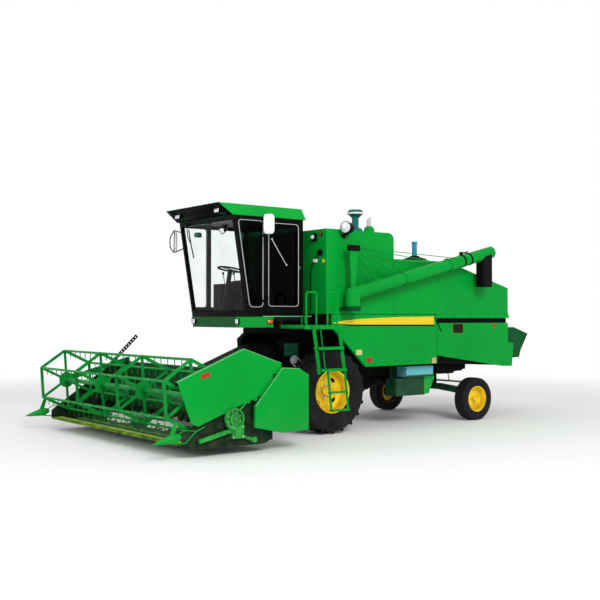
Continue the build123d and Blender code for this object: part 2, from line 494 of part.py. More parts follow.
def ladder():
    """Two stiles and a hand rod carrying four treads, a narrower lower section and two hooped handrails."""
    foot = 930
    pieces = []
    for x in (LADDER_FRONT, LADDER_REAR):
        pieces.append(bar((x, LADDER_IN, LANDING_Z), (x - LADDER_SLANT, LADDER_OUT, foot), 12, 50))
    pieces.append(rod((LADDER_FRONT - 112, LADDER_IN + 8, LANDING_Z - 10), (LADDER_FRONT - 112 - LADDER_SLANT,
                                                                       LADDER_OUT, foot + 30), 9))
    low_front, low_rear = LADDER_FRONT - 216, LADDER_REAR - LADDER_SLANT + 4
    for x in (low_front, low_rear):
        pieces.append(bar((x, LADDER_OUT, foot + 60), (x - 42, LADDER_OUT + 30, 390), 8, 36))
    whole = pieces[0]
    for piece in pieces[1:]:
        whole = whole + piece
    for z in (1300, 985):
        y = LADDER_IN + (LADDER_OUT - LADDER_IN) * (LANDING_Z - z) / (LANDING_Z - foot)
        whole = whole + box(ladder_x(LADDER_REAR, z), ladder_x(LADDER_FRONT, z), y - 60, y + 60, z - 20, z + 20)
    for z, y in ((660, LADDER_OUT + 16), (402, LADDER_OUT + 29)):
        shift = 42 * (foot + 60 - z) / (foot + 60 - 390)
        whole = whole + box(low_rear - shift, low_front - shift, y - 45, y + 45, z - 12, z + 12)
    whole = whole + box(LADDER_REAR - 20, LADDER_FRONT + 10, LANDING_Y, LADDER_IN + 8, LANDING_Z - LANDING_H,
                        LANDING_Z - 20)
    rails = []
    for x0, x1 in ((LADDER_REAR, LADDER_REAR + 180), (LADDER_FRONT - 85, LANDING_FRONT - 25)):
        rails.append(bent_tube([(x0, LANDING_Y - 15, LANDING_Z), (x0, LANDING_Y - 15, 2110),
                                (x1, LANDING_Y - 15, 2110), (x1, LANDING_Y - 15, LANDING_Z)], 40, 14))
    save("ladder", [whole] + rails)


def front_x(z):
    """Windscreen line: how far forward the cab front lies at a height."""
    return CAB_FRONT_LOW + (CAB_FRONT_TOP - CAB_FRONT_LOW) * (z - CAB_FLOOR) / (CAB_TOP - CAB_FLOOR)


def cab():
    side_outline = [(CAB_REAR, PLATFORM_TOP), (CAB_REAR, CAB_TOP), (front_x(CAB_TOP), CAB_TOP),
                    (front_x(CAB_FLOOR), CAB_FLOOR), (front_x(CAB_FLOOR), PLATFORM_TOP)]
    shell = plate_xz(side_outline, -CAB_HALF, CAB_HALF)
    room = plate_xz([(CAB_REAR + CAB_WALL, CAB_FLOOR + 30), (CAB_REAR + CAB_WALL, CAB_TOP - 30),
                     (front_x(CAB_TOP) - CAB_WALL, CAB_TOP - 30), (front_x(CAB_FLOOR) - CAB_WALL, CAB_FLOOR + 30)],
                    -CAB_HALF + CAB_WALL, CAB_HALF - CAB_WALL)
    frame = shell - room
    screen = plate_xz([(front_x(CAB_FLOOR + 60) - 100, CAB_FLOOR + 60), (front_x(CAB_TOP - 70) - 100, CAB_TOP - 70),
                       (front_x(CAB_TOP - 70) + 100, CAB_TOP - 70), (front_x(CAB_FLOOR + 60) + 100, CAB_FLOOR + 60)],
                      -CAB_HALF + 55, CAB_HALF - 55)
    rear = box(CAB_REAR - 10, CAB_REAR + 100, -CAB_HALF + 90, CAB_HALF - 90, CAB_FLOOR + 600, CAB_TOP - 100)
    quarter = plate_xz([(B_POST_X + 35, CAB_FLOOR + 120), (B_POST_X + 35, CAB_TOP - 75),
                        (front_x(CAB_TOP - 75) - 60, CAB_TOP - 75), (front_x(CAB_FLOOR + 120) - 60, CAB_FLOOR + 120)],
                       CAB_HALF - 60, CAB_HALF + 10)
    doorway = box(DOOR_REAR - DOOR_GAP, DOOR_FRONT + DOOR_GAP, CAB_HALF - 60, CAB_HALF + 10, DOOR_LOW - DOOR_GAP,
                  DOOR_TOP + DOOR_GAP)
    right_rear = box(CAB_REAR + 60, B_POST_X - 35, -CAB_HALF - 10, -CAB_HALF + 60, CAB_FLOOR + 120, CAB_TOP - 75)
    frame = frame - screen - rear - quarter - quarter.mirror(Plane.XZ) - doorway - right_rear
    for z in HINGE_HEIGHTS:
        knuckle = box(HINGE_X, HINGE_X + 60, CAB_HALF - 1, HINGE_Y + 2, z - HINGE_H, z)
        knuckle = knuckle + Pos(HINGE_X, HINGE_Y, z - HINGE_H / 2) * Cylinder(HINGE_Y - CAB_HALF - SEAT_GAP, HINGE_H)
        knuckle = knuckle - box(HINGE_X - 40, DOOR_FRONT + DOOR_GAP, CAB_HALF - 2, CAB_HALF + SEAT_GAP, z - 2 * HINGE_H, z + 1)
        frame = frame + (knuckle - Pos(HINGE_X, HINGE_Y, z) * Cylinder(HINGE_PIN_R + RUN_FIT, 3 * HINGE_H))
    save("cab_frame", frame)

    glass = [
        plate_xz([(front_x(CAB_FLOOR + 60) - 20, CAB_FLOOR + 60.5), (front_x(CAB_TOP - 70) - 20, CAB_TOP - 70.5),
                  (front_x(CAB_TOP - 70) - 20 + PANE_T, CAB_TOP - 70.5),
                  (front_x(CAB_FLOOR + 60) - 20 + PANE_T, CAB_FLOOR + 60.5)], -CAB_HALF + 55.3, CAB_HALF - 55.3),
        box(CAB_REAR + 10, CAB_REAR + 10 + PANE_T, -CAB_HALF + 90.3, CAB_HALF - 90.3, CAB_FLOOR + 600.3, CAB_TOP - 100.3),
        box(CAB_REAR + 60.3, B_POST_X - 35.3, -CAB_HALF + 12, -CAB_HALF + 12 + PANE_T, CAB_FLOOR + 120.3, CAB_TOP - 75.3),
    ]
    for sign in (1, -1):
        glass.append(plate_xz([(B_POST_X + 35.3, CAB_FLOOR + 120.3), (B_POST_X + 35.3, CAB_TOP - 75.3),
                            (front_x(CAB_TOP - 75) - 60.4, CAB_TOP - 75.3),
                            (front_x(CAB_FLOOR + 120) - 60.4, CAB_FLOOR + 120.3)],
                           sign * (CAB_HALF - 12), sign * (CAB_HALF - 12 - PANE_T)))
    save("cab_glass", glass)

    door_in = CAB_HALF - DOOR_T
    door = box(DOOR_REAR, DOOR_FRONT, door_in, CAB_HALF, DOOR_LOW, DOOR_TOP)
    hole = box(DOOR_REAR + 55, DOOR_FRONT - 55, door_in - 5, CAB_HALF + 5, DOOR_LOW + 110, DOOR_TOP - 45)
    handle = box(DOOR_REAR + 12, DOOR_REAR + 42, CAB_HALF, CAB_HALF + 34, 2540, 2660)
    door = (door - hole) + handle
    for z in HINGE_HEIGHTS:
        door = door + box(HINGE_X - 50, HINGE_X, CAB_HALF, HINGE_Y - 2, z + SEAT_GAP, z + HINGE_H)
        door = door + Pos(HINGE_X, HINGE_Y, z + (SEAT_GAP + HINGE_H) / 2) * Cylinder(HINGE_Y - CAB_HALF - SEAT_GAP,
                                                                                   HINGE_H - SEAT_GAP)
        door = door + Pos(HINGE_X, HINGE_Y, z) * Cylinder(HINGE_PIN_R, 2 * HINGE_H)
    save("cab_door", door)
    save("door_glass", box(DOOR_REAR + 55.3, DOOR_FRONT - 55.3, CAB_HALF - 18, CAB_HALF - 18 + PANE_T,
                           DOOR_LOW + 110.3, DOOR_TOP - 45.3))


def cab_roof():
    low = Plane.XY.offset(CAB_TOP) * Pos((1561 + 239) / 2, 0) * Rectangle(1561 - 239, 2 * CAB_HALF + 10)
    top = Plane.XY.offset(ROOF_TOP) * Pos((1787 + 289) / 2, 0) * Rectangle(1787 - 289, 2 * 742)
    roof = loft([low.face(), top.face()])
    lamps = []
    for y in (-560, 560):
        lamps.append(box(1600, 1700, y - 70, y + 70, 3262, 3322))
    for lamp in lamps:
        roof = roof - lamp
    save("cab_roof", roof)
    return lamps


def cab_inside():
    seat = box(520, 1000, -240, 240, 2200, 2320) + box(440, 540, -230, 230, 2320, 2900) + box(600, 900, -170, 170,
                                                                                               CAB_FLOOR + 30, 2200)
    save("driver_seat", seat)
    column = rod((1210, 0, CAB_FLOOR + 60), (1090, 0, 2480), 35)
    column = column + box(1130, 1250, -60, 60, CAB_FLOOR + 30, CAB_FLOOR + 70)
    wheel_plane = Plane(origin=(1090, 0, 2480), z_dir=(-120, 0, 660))
    wheel = wheel_plane * Torus(190, 14) + wheel_plane * Box(380, 24, 12)
    save("steering_column", column + wheel)


def mirrors():
    left = box(1085, 1105, 960, 1110, 2960, 3230)
    left_arm = rod((1040, CAB_HALF + 5, 3120), (1090, 1000, 3120), 9) + rod((1040, CAB_HALF + 5, 3040),
                                                                             (1090, 1000, 3040), 9)
    left_arm = left_arm + box(1020, 1060, CAB_HALF, CAB_HALF + 10, 3020, 3140)
    right = box(1465, 1485, -1110, -980, 2800, 3110)
    right_arm = rod((1470, -CAB_HALF - 5, 3080), (1475, -1000, 3080), 9) + rod((1430, -CAB_HALF - 5, 2840),
                                                                               (1475, -1000, 2840), 9)
    right_arm = right_arm + box(1450, 1490, -CAB_HALF - 10, -CAB_HALF, 3060, 3100)
    right_arm = right_arm + box(1410, 1450, -CAB_HALF - 10, -CAB_HALF, 2820, 2860)
    save("mirrors", [left + left_arm, right + right_arm])


# Header, all of it turning on the feeder hinge

def feeder_house():
    low_front = THROAT_TOP - 470
    hinge_low = FEEDER_TOP_IN - FEEDER_DEPTH

    def floor_z(x):
        """Height of the middle of the feeder's floor sheet."""
        return low_front + (hinge_low - low_front) * (BACK_X - x) / (BACK_X - FEEDER_HINGE_X) + 6

    outline = [(BACK_X - SEAT_GAP, low_front), (BACK_X - SEAT_GAP, THROAT_TOP + 120), (FEEDER_HINGE_X, FEEDER_TOP_IN),
               (FEEDER_HINGE_X - 60, FEEDER_TOP_IN), (FEEDER_HINGE_X - 60, hinge_low), (FEEDER_HINGE_X, hinge_low)]
    outer = plate_xz(outline, -THROAT_HALF, THROAT_HALF)
    inner = plate_xz([(BACK_X + 1, low_front + 12), (BACK_X + 1, THROAT_TOP + 108),
                      (FEEDER_HINGE_X, FEEDER_TOP_IN - 12), (FEEDER_HINGE_X - 70, FEEDER_TOP_IN - 12),
                      (FEEDER_HINGE_X - 70, hinge_low + 12), (FEEDER_HINGE_X, hinge_low + 12)],
                     -THROAT_HALF + FEEDER_WALL, THROAT_HALF - FEEDER_WALL)
    house = outer - inner
    for sign in (1, -1):
        for offset in (-EYE_HALF - 14, EYE_HALF + 2):
            y0, y1 = sign * (LIFT_Y + offset), sign * (LIFT_Y + offset + 12)
            house = house + plate_xz([(LIFT_EYE_X - 70, floor_z(LIFT_EYE_X - 70)), (LIFT_EYE_X + 70,
                                      floor_z(LIFT_EYE_X + 70)), (LIFT_EYE_X + 32, LIFT_EYE_Z - 34),
                                      (LIFT_EYE_X - 32, LIFT_EYE_Z - 34)], y0, y1)
        house = house + disc_y(LIFT_EYE_X, LIFT_EYE_Z, sign * (LIFT_Y - EYE_HALF - 14),
                               sign * (LIFT_Y + EYE_HALF + 14), LIFT_PIN_R)
    house = house + disc_y(FEEDER_HINGE_X, FEEDER_HINGE_Z, -THROAT_HALF - 60 + SEAT_GAP, THROAT_HALF + 60 - SEAT_GAP, 32)
    save("feeder_house", house)


def header_platform():
    """Trough with its throat, beams and rear ribs, closed by two end sheets that carry the reel's pivots."""
    floor = plate_xz([(BACK_X, FLOOR_Z + 200), (BACK_X, FLOOR_Z + 20), (BACK_X + 60, FLOOR_Z), (KNIFE_X - 120, FLOOR_Z),
                      (KNIFE_X - 20, KNIFE_Z - 12), (KNIFE_X - 20, KNIFE_Z), (KNIFE_X - 70, KNIFE_Z),
                      (KNIFE_X - 130, FLOOR_Z + 14),
                      (2420, FLOOR_Z + 30), (AUGER_X + 200, 262), (AUGER_X + 100, 226), (AUGER_X, 222),
                      (AUGER_X - 120, 240), (AUGER_X - 220, 310), (BACK_X + 12, 480), (BACK_X + 12, BACK_TOP),
                      (BACK_X, BACK_TOP)], -HEADER_HALF, HEADER_HALF)
    throat = box(BACK_X - 70, BACK_X + 90, -THROAT_HALF + 20, THROAT_HALF - 20, 330, THROAT_TOP + 30)
    whole = floor + box(BACK_X - 60, BACK_X + 40, -HEADER_HALF, HEADER_HALF, BACK_TOP - 60, BACK_TOP + 20)
    whole = whole + box(BACK_X - 60, BACK_X + 1, -HEADER_HALF, HEADER_HALF, FLOOR_Z + 20, FLOOR_Z + 105)
    ribs = 4
    for sign in (1, -1):
        for index in range(ribs):
            y = sign * (THROAT_HALF + 90 + index * (COVER_IN - THROAT_HALF - 130) / (ribs - 1))
            whole = whole + box(BACK_X - 50, BACK_X + 1, y - 5, y + 5, FLOOR_Z + 100, BACK_TOP - 59)
    sheet = [(BACK_X - 60, BACK_TOP + 20), (BACK_X + 260, BACK_TOP + 20), (KNIFE_X - 60, 420), (KNIFE_X + 110, 300),
             (KNIFE_X + 110, 180), (KNIFE_X - 20, KNIFE_Z - 40), (KNIFE_X - 120, FLOOR_Z - 20),
             (BACK_X + 60, FLOOR_Z - 20), (BACK_X - 60, FLOOR_Z + 40)]
    pieces = [whole - throat]
    for sign in (1, -1):
        pieces.append(plate_xz(sheet, sign * HEADER_HALF, sign * (HEADER_HALF + END_SHEET_T)))
        lug = plate_xz([(REEL_PIVOT_X - 45, BACK_TOP + 20), (REEL_PIVOT_X + 10, BACK_TOP + 20),
                        (REEL_PIVOT_X + 30, REEL_PIVOT_Z), (REEL_PIVOT_X + 30, REEL_PIVOT_Z + 35),
                        (REEL_PIVOT_X - 30, REEL_PIVOT_Z + 35)], sign * (REEL_ARM_Y - 40), sign * (REEL_ARM_Y - 18))
        pieces.append(lug + disc_y(REEL_PIVOT_X, REEL_PIVOT_Z, sign * (REEL_ARM_Y - 40), sign * (REEL_ARM_Y + 14), 15))
        foot = disc_y(REEL_LIFT_X, REEL_LIFT_Z, sign * (HEADER_HALF - REEL_PAD_T), sign * HEADER_HALF, REEL_PAD_R)
        pieces.append(foot + disc_y(REEL_LIFT_X, REEL_LIFT_Z, sign * (REEL_ARM_Y - 12),
                                    sign * (HEADER_HALF - REEL_PAD_T), REEL_PIN_R))
    save("header_platform", pieces)


def arm_z(x):
    """Height of the reel arm's middle line."""
    return REEL_PIVOT_Z + (REEL_Z - REEL_PIVOT_Z) * (x - REEL_PIVOT_X) / (REEL_X - REEL_PIVOT_X)


def cutter_bar():
    bar_solid = box(KNIFE_X - 70, KNIFE_X, -HEADER_HALF + 2, HEADER_HALF - 2, KNIFE_Z, KNIFE_Z + 10)
    guards = []
    pitch = 76.2
    count = int(2 * (HEADER_HALF - 30) / pitch)
    for index in range(count):
        y = -HEADER_HALF + 40 + index * pitch
        guards.append(plate_xy([(KNIFE_X - 2, y - 14), (KNIFE_X + 60, y - 11), (KNIFE_X + 120, y - 2),
                                (KNIFE_X + 120, y + 2), (KNIFE_X + 60, y + 11), (KNIFE_X - 2, y + 14)],
                               KNIFE_Z - 6, KNIFE_Z + 20))
    whole = bar_solid + guards
    save("cutter_bar", whole)


def dividers():
    """Crop dividers: a round point with a rising strip behind it, carried by a bent rod along the end sheet."""
    pieces = []
    for sign in (1, -1):
        rod_y = sign * (HEADER_HALF + END_SHEET_T + SEAT_GAP + 8)
        point_y = sign * (HEADER_HALF + END_SHEET_T + 24)
        outline = make_face(Polyline((0, 0), (2, 3), (POINT_L * 0.22, POINT_R * 0.42), (POINT_L * 0.65, POINT_R * 0.95),
                                     (POINT_L * 0.82, POINT_R), (POINT_L, POINT_R * 0.55), (POINT_L, 0), close=True))
        point = revolve(outline, Axis.X)
        point = Plane(origin=(POINT_TIP_X, point_y, POINT_TIP_Z), x_dir=(-0.985, 0, 0.172), z_dir=(0, 1, 0)) * point
        strip = plate_xz([(3290, 325), (3232, 470), (3180, 470), (3222, 325)], point_y - 3, point_y + 3)
        carrier = bent_tube([(POINT_TIP_X - 190, rod_y, POINT_TIP_Z + 5), (3062, rod_y, 205), (2920, rod_y, 335),
                             (2791, rod_y, 388)], 30, 8)
        brace = bent_tube([(3200, rod_y, 300), (3080, rod_y, 365), (2960, rod_y, 352), (2900, rod_y, 343)], 30, 6)
        pieces.append(point + strip + carrier + brace)
    save("dividers", pieces)


def header_shields():
    """Left end covers: the long drive shield on its stand-offs and the pentagonal cover of the rear belts."""
    y0, y1 = HEADER_HALF + END_SHEET_T + SEAT_GAP, SHIELD_Y
    big = plate_xz([(3202, 962), (2226, 1347), (1635, 1147), (1604, 871), (2900, 405), (3000, 437)], y1 - 4, y1)
    top = bar((3202, (y0 + y1) / 2, 960), (2226, (y0 + y1) / 2, 1345), y1 - y0, 5)
    top_rear = bar((2226, (y0 + y1) / 2, 1345), (1635, (y0 + y1) / 2, 1145), y1 - y0, 5)
    latch = disc_y(1750, 985, y1, y1 + 12, 30)
    big = big + top + top_rear + latch + disc_y(2050, 700, y0, y1, 30) + disc_y(2500, 560, y0, y1, 30)
    outline = [(2090, 337), (2080, 606), (1650, 1088), (1370, 1071), (1215, 986), (1215, 247), (1640, 238)]
    cover = plate_xz(outline, COVER_IN, COVER_Y)
    hollow = [(2078, 345), (2068, 602), (1645, 1076), (1374, 1059), (1227, 979), (1227, 259), (1641, 250)]
    cover = cover - plate_xz(hollow, COVER_IN - 10, COVER_Y - 6)
    cover = cover - box(BACK_X - 70, 2200, COVER_IN - 40, y1 + 3, 100, 1200)
    save("header_shields", [big, cover])


def knife_drive():
    """Knife drive: stepped round housing with a ring of bosses, its gear foot, shafts and the swinging head."""
    y0 = HEADER_HALF + END_SHEET_T
    x, z, radius = KNIFE_DRIVE_X, KNIFE_DRIVE_Z, KNIFE_DRIVE_R
    case = disc_y(x, z, y0, y0 + 62, radius) + disc_y(x, z, y0 + 61, y0 + 95, radius * 0.72)
    case = case + disc_y(x, z, y0 + 94, y0 + 120, radius * 0.35)
    for index in range(8):
        bx, bz = at_angle(x, z, radius * 0.86, 22.5 + 45 * index)
        case = case + disc_y(bx, bz, y0 + 61, y0 + 74, 10)
    case = case + box(x - 150, x + 30, y0, y0 + 70, z - 250, z - 85)
    case = case + rod((x - 90, y0 + 35, 250), (x - 320, y0 + 35, 178), 24) + disc_y(x - 320, 178, y0, y0 + 60, 38)
    case = case + rod((x - 60, y0 + 25, z + 60), (x - 235, y0 + 25, z + 215), 14)
    case = case + disc_y(x - 235, z + 215, y0, y0 + 40, 30)
    head = bar((x - 20, y0 + 40, 330), (2890, y0 + 40, 215), 40, 50)
    save("knife_drive", case + head)


def auger_flight(start, end, hand, turns):
    """Flight of flat sector blades round the tube, each tilted to the pitch and a hair short of the next."""
    blades = []
    count = turns * SECTORS
    step = 360 / SECTORS
    span = (end - start) / count
    crest = AUGER_R * cos(radians(step / 2))
    foot = AUGER_TUBE_R - 8
    inner, outer = foot * sin(radians(step / 2)) - 1, crest * sin(radians(step / 2)) - 1
    tilt = degrees(atan2(abs(span), AUGER_R * radians(step) * 0.8))
    outline = Polygon((foot, -inner), (crest, -outer), (crest, outer), (foot, inner), align=None)
    blade = extrude(Plane.XZ * outline, FLIGHT_T / 2, both=True)
    for index in range(count):
        place = Pos(0, start + span * (index + 0.5), 0) * Rot(0, hand * step * index, 0)
        blades.append(place * Rot(-hand * tilt * (1 if end > start else -1), 0, 0) * blade)
    return blades


def header_auger():
    tube_end, flight_end, inner_end = HEADER_HALF - 70, HEADER_HALF - 100, THROAT_HALF - 10
    tube = disc_y(0, 0, -tube_end, tube_end, AUGER_TUBE_R)
    shaft = disc_y(0, 0, -HEADER_HALF + SEAT_GAP, HEADER_HALF - SEAT_GAP, 25)
    drum = tube + shaft
    blades = auger_flight(-flight_end, -inner_end, 1, 3) + auger_flight(flight_end, inner_end, -1, 3)
    fingers = 8
    for index in range(fingers):
        turn, y = index * 135, (THROAT_HALF - 120) * (2 * index / (fingers - 1) - 1)
        finger = Pos(0, y, 0) * Rot(0, turn, 0) * Pos(AUGER_TUBE_R + 45, 0, 0) * Rot(0, 90, 0) * Cylinder(8, 110)
        blades.append(finger)
    drum = drum + blades
    save("header_auger", Pos(AUGER_X, 0, AUGER_Z) * drum)


def reel_arms():
    """Lift arms with their pivot eyes and ram slots; the right one carries the notched height bar."""
    arms = []
    for sign in (1, -1):
        y0, y1 = sign * (REEL_ARM_Y - REEL_ARM_T / 2), sign * (REEL_ARM_Y + REEL_ARM_T / 2)
        half = 34
        arm = plate_xz([(REEL_PIVOT_X, REEL_PIVOT_Z + half), (REEL_X, REEL_Z + half), (REEL_X, REEL_Z - half),
                        (REEL_EYE_X + 120, arm_z(REEL_EYE_X + 120) - half),
                        (REEL_EYE_X + 20, arm_z(REEL_EYE_X) - REEL_EYE_DROP - 22),
                        (REEL_EYE_X - 20, arm_z(REEL_EYE_X) - REEL_EYE_DROP - 22),
                        (REEL_EYE_X - 90, arm_z(REEL_EYE_X - 90) - half), (REEL_PIVOT_X, REEL_PIVOT_Z - half)], y0, y1)
        slot = plate_xz([(REEL_EYE_X - 200, arm_z(REEL_EYE_X - 200) - half), (REEL_EYE_X + 200, arm_z(REEL_EYE_X + 200)
                         - half), (REEL_EYE_X + 200, 500), (REEL_EYE_X - 200, 500)],
                        sign * (REEL_ARM_Y - REEL_EYE_HALF - 1), sign * (REEL_ARM_Y + REEL_EYE_HALF + 1))
        arm = arm - slot + disc_y(REEL_EYE_X, arm_z(REEL_EYE_X) - REEL_EYE_DROP, y0, y1, REEL_PIN_R)
        arm = arm + disc_y(REEL_PIVOT_X, REEL_PIVOT_Z, y0, y1, half) + disc_y(REEL_X, REEL_Z, y0, y1, 45)
        arm = arm - bore_y(REEL_PIVOT_X, REEL_PIVOT_Z, y0, y1, 15 + RUN_FIT)
        arm = arm - bore_y(REEL_X, REEL_Z, y0, y1, 15 + RUN_FIT)
        arms.append(arm)
    face = -REEL_ARM_Y + REEL_ARM_T / 2
    foot, head, notches, notch_r = Vector(2150, face + 7, arm_z(2150)), Vector(1657, face + 7, 1445), 9, 13
    height_bar = bar(foot, head, 14, 56)
    for index in range(notches):
        spot = foot + (head - foot) * (0.28 + 0.66 * index / (notches - 1))
        height_bar = height_bar - bore_y(spot.X, spot.Z, face, face + 14, notch_r)
    save("reel_arms", arms + [height_bar])


def reel():
    whole = disc_y(REEL_X, REEL_Z, -REEL_HALF, REEL_HALF, 32)
    whole = whole + disc_y(REEL_X, REEL_Z, -REEL_ARM_Y - 11, REEL_ARM_Y + 11, 15)
    corners = [at_angle(REEL_X, REEL_Z, REEL_R, REEL_PHASE + 360 / REEL_SIDES * k) for k in range(REEL_SIDES)]
    for index in range(REEL_SPIDERS):
        y = -REEL_HALF + 20 + index * (2 * REEL_HALF - 40) / (REEL_SPIDERS - 1)
        whole = whole + disc_y(REEL_X, REEL_Z, y - 5, y + 5, 120)
        for k, (x, z) in enumerate(corners):
            nx, nz = corners[(k + 1) % REEL_SIDES]
            whole = whole + bar((x, y, z), (nx, y, nz), 8, 45)
            whole = whole + bar((REEL_X, y, REEL_Z), (x, y, z), 8, 40)
    tines = []
    for x, z in corners:
        whole = whole + disc_y(x, z, -REEL_HALF, REEL_HALF, 17)
        for index in range(TINES_PER_BAT):
            y = -REEL_HALF + 60 + index * (2 * REEL_HALF - 120) / (TINES_PER_BAT - 1)
            tines.append(box(x - 5, x + 5, y - 4, y + 4, z - TINE_L, z))
    save("reel", whole + tines)


def cylinders():
    barrels, rods = [], []
    for sign in (1, -1):
        base, eye = Vector(LIFT_BASE_X, sign * LIFT_Y, LIFT_BASE_Z), Vector(LIFT_EYE_X, sign * LIFT_Y, LIFT_EYE_Z)
        b, r = cylinder(base, eye, 42, 24, LIFT_PIN_R, 620, EYE_HALF, LIFT_DRIFT)
        barrels.append(b)
        rods.append(r)
    save("lift_barrels", barrels)
    save("lift_rods", rods)
    barrels, rods = [], []
    for sign in (1, -1):
        base = Vector(REEL_LIFT_X, sign * REEL_ARM_Y, REEL_LIFT_Z)
        eye = Vector(REEL_EYE_X, sign * REEL_ARM_Y, arm_z(REEL_EYE_X) - REEL_EYE_DROP)
        b, r = cylinder(base, eye, 16, 8, REEL_PIN_R, 290, REEL_EYE_HALF, REEL_LIFT_DRIFT)
        barrels.append(b)
        rods.append(r)
    save("reel_lift_barrels", barrels)
    save("reel_lift_rods", rods)


def cylinder(base, eye, bore_radius, rod_radius, pin_radius, barrel_length, half_eye, drift):
    """Ram between two pins: its barrel with an eye, and its rod with an eye wide enough for the drift."""
    along = (eye - base).normalized()
    neck = pin_radius * 2 + 22
    barrel = rod(base + along * neck, base + along * barrel_length, bore_radius)
    barrel = barrel + rod(base, base + along * (neck + 2), half_eye * 0.9)
    barrel = barrel + disc_y(base.X, base.Z, base.Y - half_eye, base.Y + half_eye, pin_radius + 12)
    barrel = barrel - bore_y(base.X, base.Z, base.Y - half_eye, base.Y + half_eye, pin_radius + RUN_FIT)
    barrel = barrel - rod(base + along * (neck + 20), base + along * (barrel_length + 10), rod_radius + RUN_FIT)
    stem = rod(base + along * (neck + 55), eye, rod_radius)
    stem = stem + disc_y(eye.X, eye.Z, eye.Y - half_eye, eye.Y + half_eye, pin_radius + drift + 9)
    stem = stem - bore_y(eye.X, eye.Z, eye.Y - half_eye, eye.Y + half_eye, pin_radius + drift)
    return barrel, stem


# Unloading auger

def unloading_auger():
    rise = radians(UNLOAD_RISE)
    start = Vector(TURRET_X, TURRET_Y, TURRET_Z)
    along = Vector(-cos(rise), 0, sin(rise))
    tip = start + along * UNLOAD_REACH
    tube = rod(start, tip, UNLOAD_R)
    elbow = rod((TURRET_X, TURRET_Y, TURRET_Z - 190), (TURRET_X, TURRET_Y, TURRET_Z + 20), UNLOAD_R + 10)
    elbow = elbow + Pos(TURRET_X, TURRET_Y, TURRET_Z) * Sphere(UNLOAD_R + 10)
    post = plate_xz([(TURRET_X - 30, TURRET_Z), (TURRET_X + 30, TURRET_Z), (TURRET_X + 70, 2820),
                     (TURRET_X - 110, 2820)], TURRET_Y - 12, TURRET_Y + 12)
    whole = tube + elbow + post
    for reach in (1050, 2100):
        whole = whole + rod(start + along * reach, start + along * (reach + 16), UNLOAD_R + 14)
    for reach, y in ((2330, 60), (2000, -60)):
        foot = start + along * reach + Vector(0, y * 0.9, UNLOAD_R * 0.6)
        whole = whole + rod((TURRET_X - 60, TURRET_Y, 2800), foot, 6)
    for reach in (1000, 500):
        foot = start + along * reach + Vector(0, 0, UNLOAD_R * 0.8)
        whole = whole + rod((TURRET_X - 40, TURRET_Y, 2760), foot, 12)
    save("unloading_auger", whole)
    mouth = start + along * ((TURRET_X - SPOUT_X) / cos(rise))
    middle, height = (mouth.Z + SPOUT_LOW) / 2, mouth.Z - SPOUT_LOW
    spout = Pos(SPOUT_X, TURRET_Y, middle) * Box(SPOUT_L, SPOUT_W - 4, height)
    spout = fillet(spout.edges().filter_by(Axis.Z), 40)
    hollow = Pos(SPOUT_X, TURRET_Y, middle - 20) * Box(SPOUT_L - 2 * SPOUT_T, SPOUT_W - 4 - 2 * SPOUT_T, height + 20)
    spout = spout - hollow - rod(start, tip + along * 10, UNLOAD_R)
    save("unloading_spout", spout)
    base = rod((TURRET_X, TURRET_Y, TURRET_Z - 260), (TURRET_X, TURRET_Y, TURRET_Z - 190 - SEAT_GAP), UNLOAD_R + 20)
    base = base + box(TURRET_X - 110, TURRET_X + 110, SIDE_Y + SEAT_GAP, TURRET_Y, TURRET_Z - 260,
                      TURRET_Z - 200)
    save("unloading_base", base)


def lamps(extra):
    """Roof lamps, headlamps on the platform beam, and the round lamp on its bracket beside the tank top."""
    pieces = list(extra)
    for y in HEADLAMP_Y:
        pieces.append(box(PLATFORM_FRONT, PLATFORM_FRONT + 25, y - 42, y + 42, 1645, 1725))
    x, z, y = -200, 3100, SIDE_Y + 110
    barrel = revolve(make_face(Polyline((-95, 0), (-95, 52), (-55, 78), (60, 84), (60, 92), (88, 92), (88, 0),
                                        close=True)), Axis.X)
    shell = Plane(origin=(x, y, z), x_dir=(0.94, 0.34, 0), z_dir=(0, 0, 1)) * barrel
    bracket = box(x - 40, x + 40, SIDE_Y, y - 40, z - 110, z - 98) + box(x - 30, x + 30, y - 60, y - 20, z - 110, z - 60)
    pieces.append(shell + bracket + box(x - 40, x + 40, SIDE_Y, SIDE_Y + 8, z - 150, z - 98))
    save("lamps", pieces)


def main():
    os.makedirs("parts", exist_ok=True)
    wheels()
    drive_axle()
    chassis_frame()
    rear_axle()
    knuckles()
    separator_hull()
    side_panels()
    grain_tank()
    rear_hood()
    stacks()
    straw_hood()
    cleaning_shoe()
    platform()
    ladder()
    cab()
    roof_lamps = cab_roof()
    lamps(roof_lamps)
    cab_inside()
    mirrors()
    feeder_house()
    header_platform()
    cutter_bar()
    dividers()
    header_shields()
    knife_drive()
    header_auger()
    reel_arms()
    reel()
    cylinders()
    unloading_auger()


main()
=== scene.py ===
import json
from functools import partial
from math import cos, pi, radians, sin

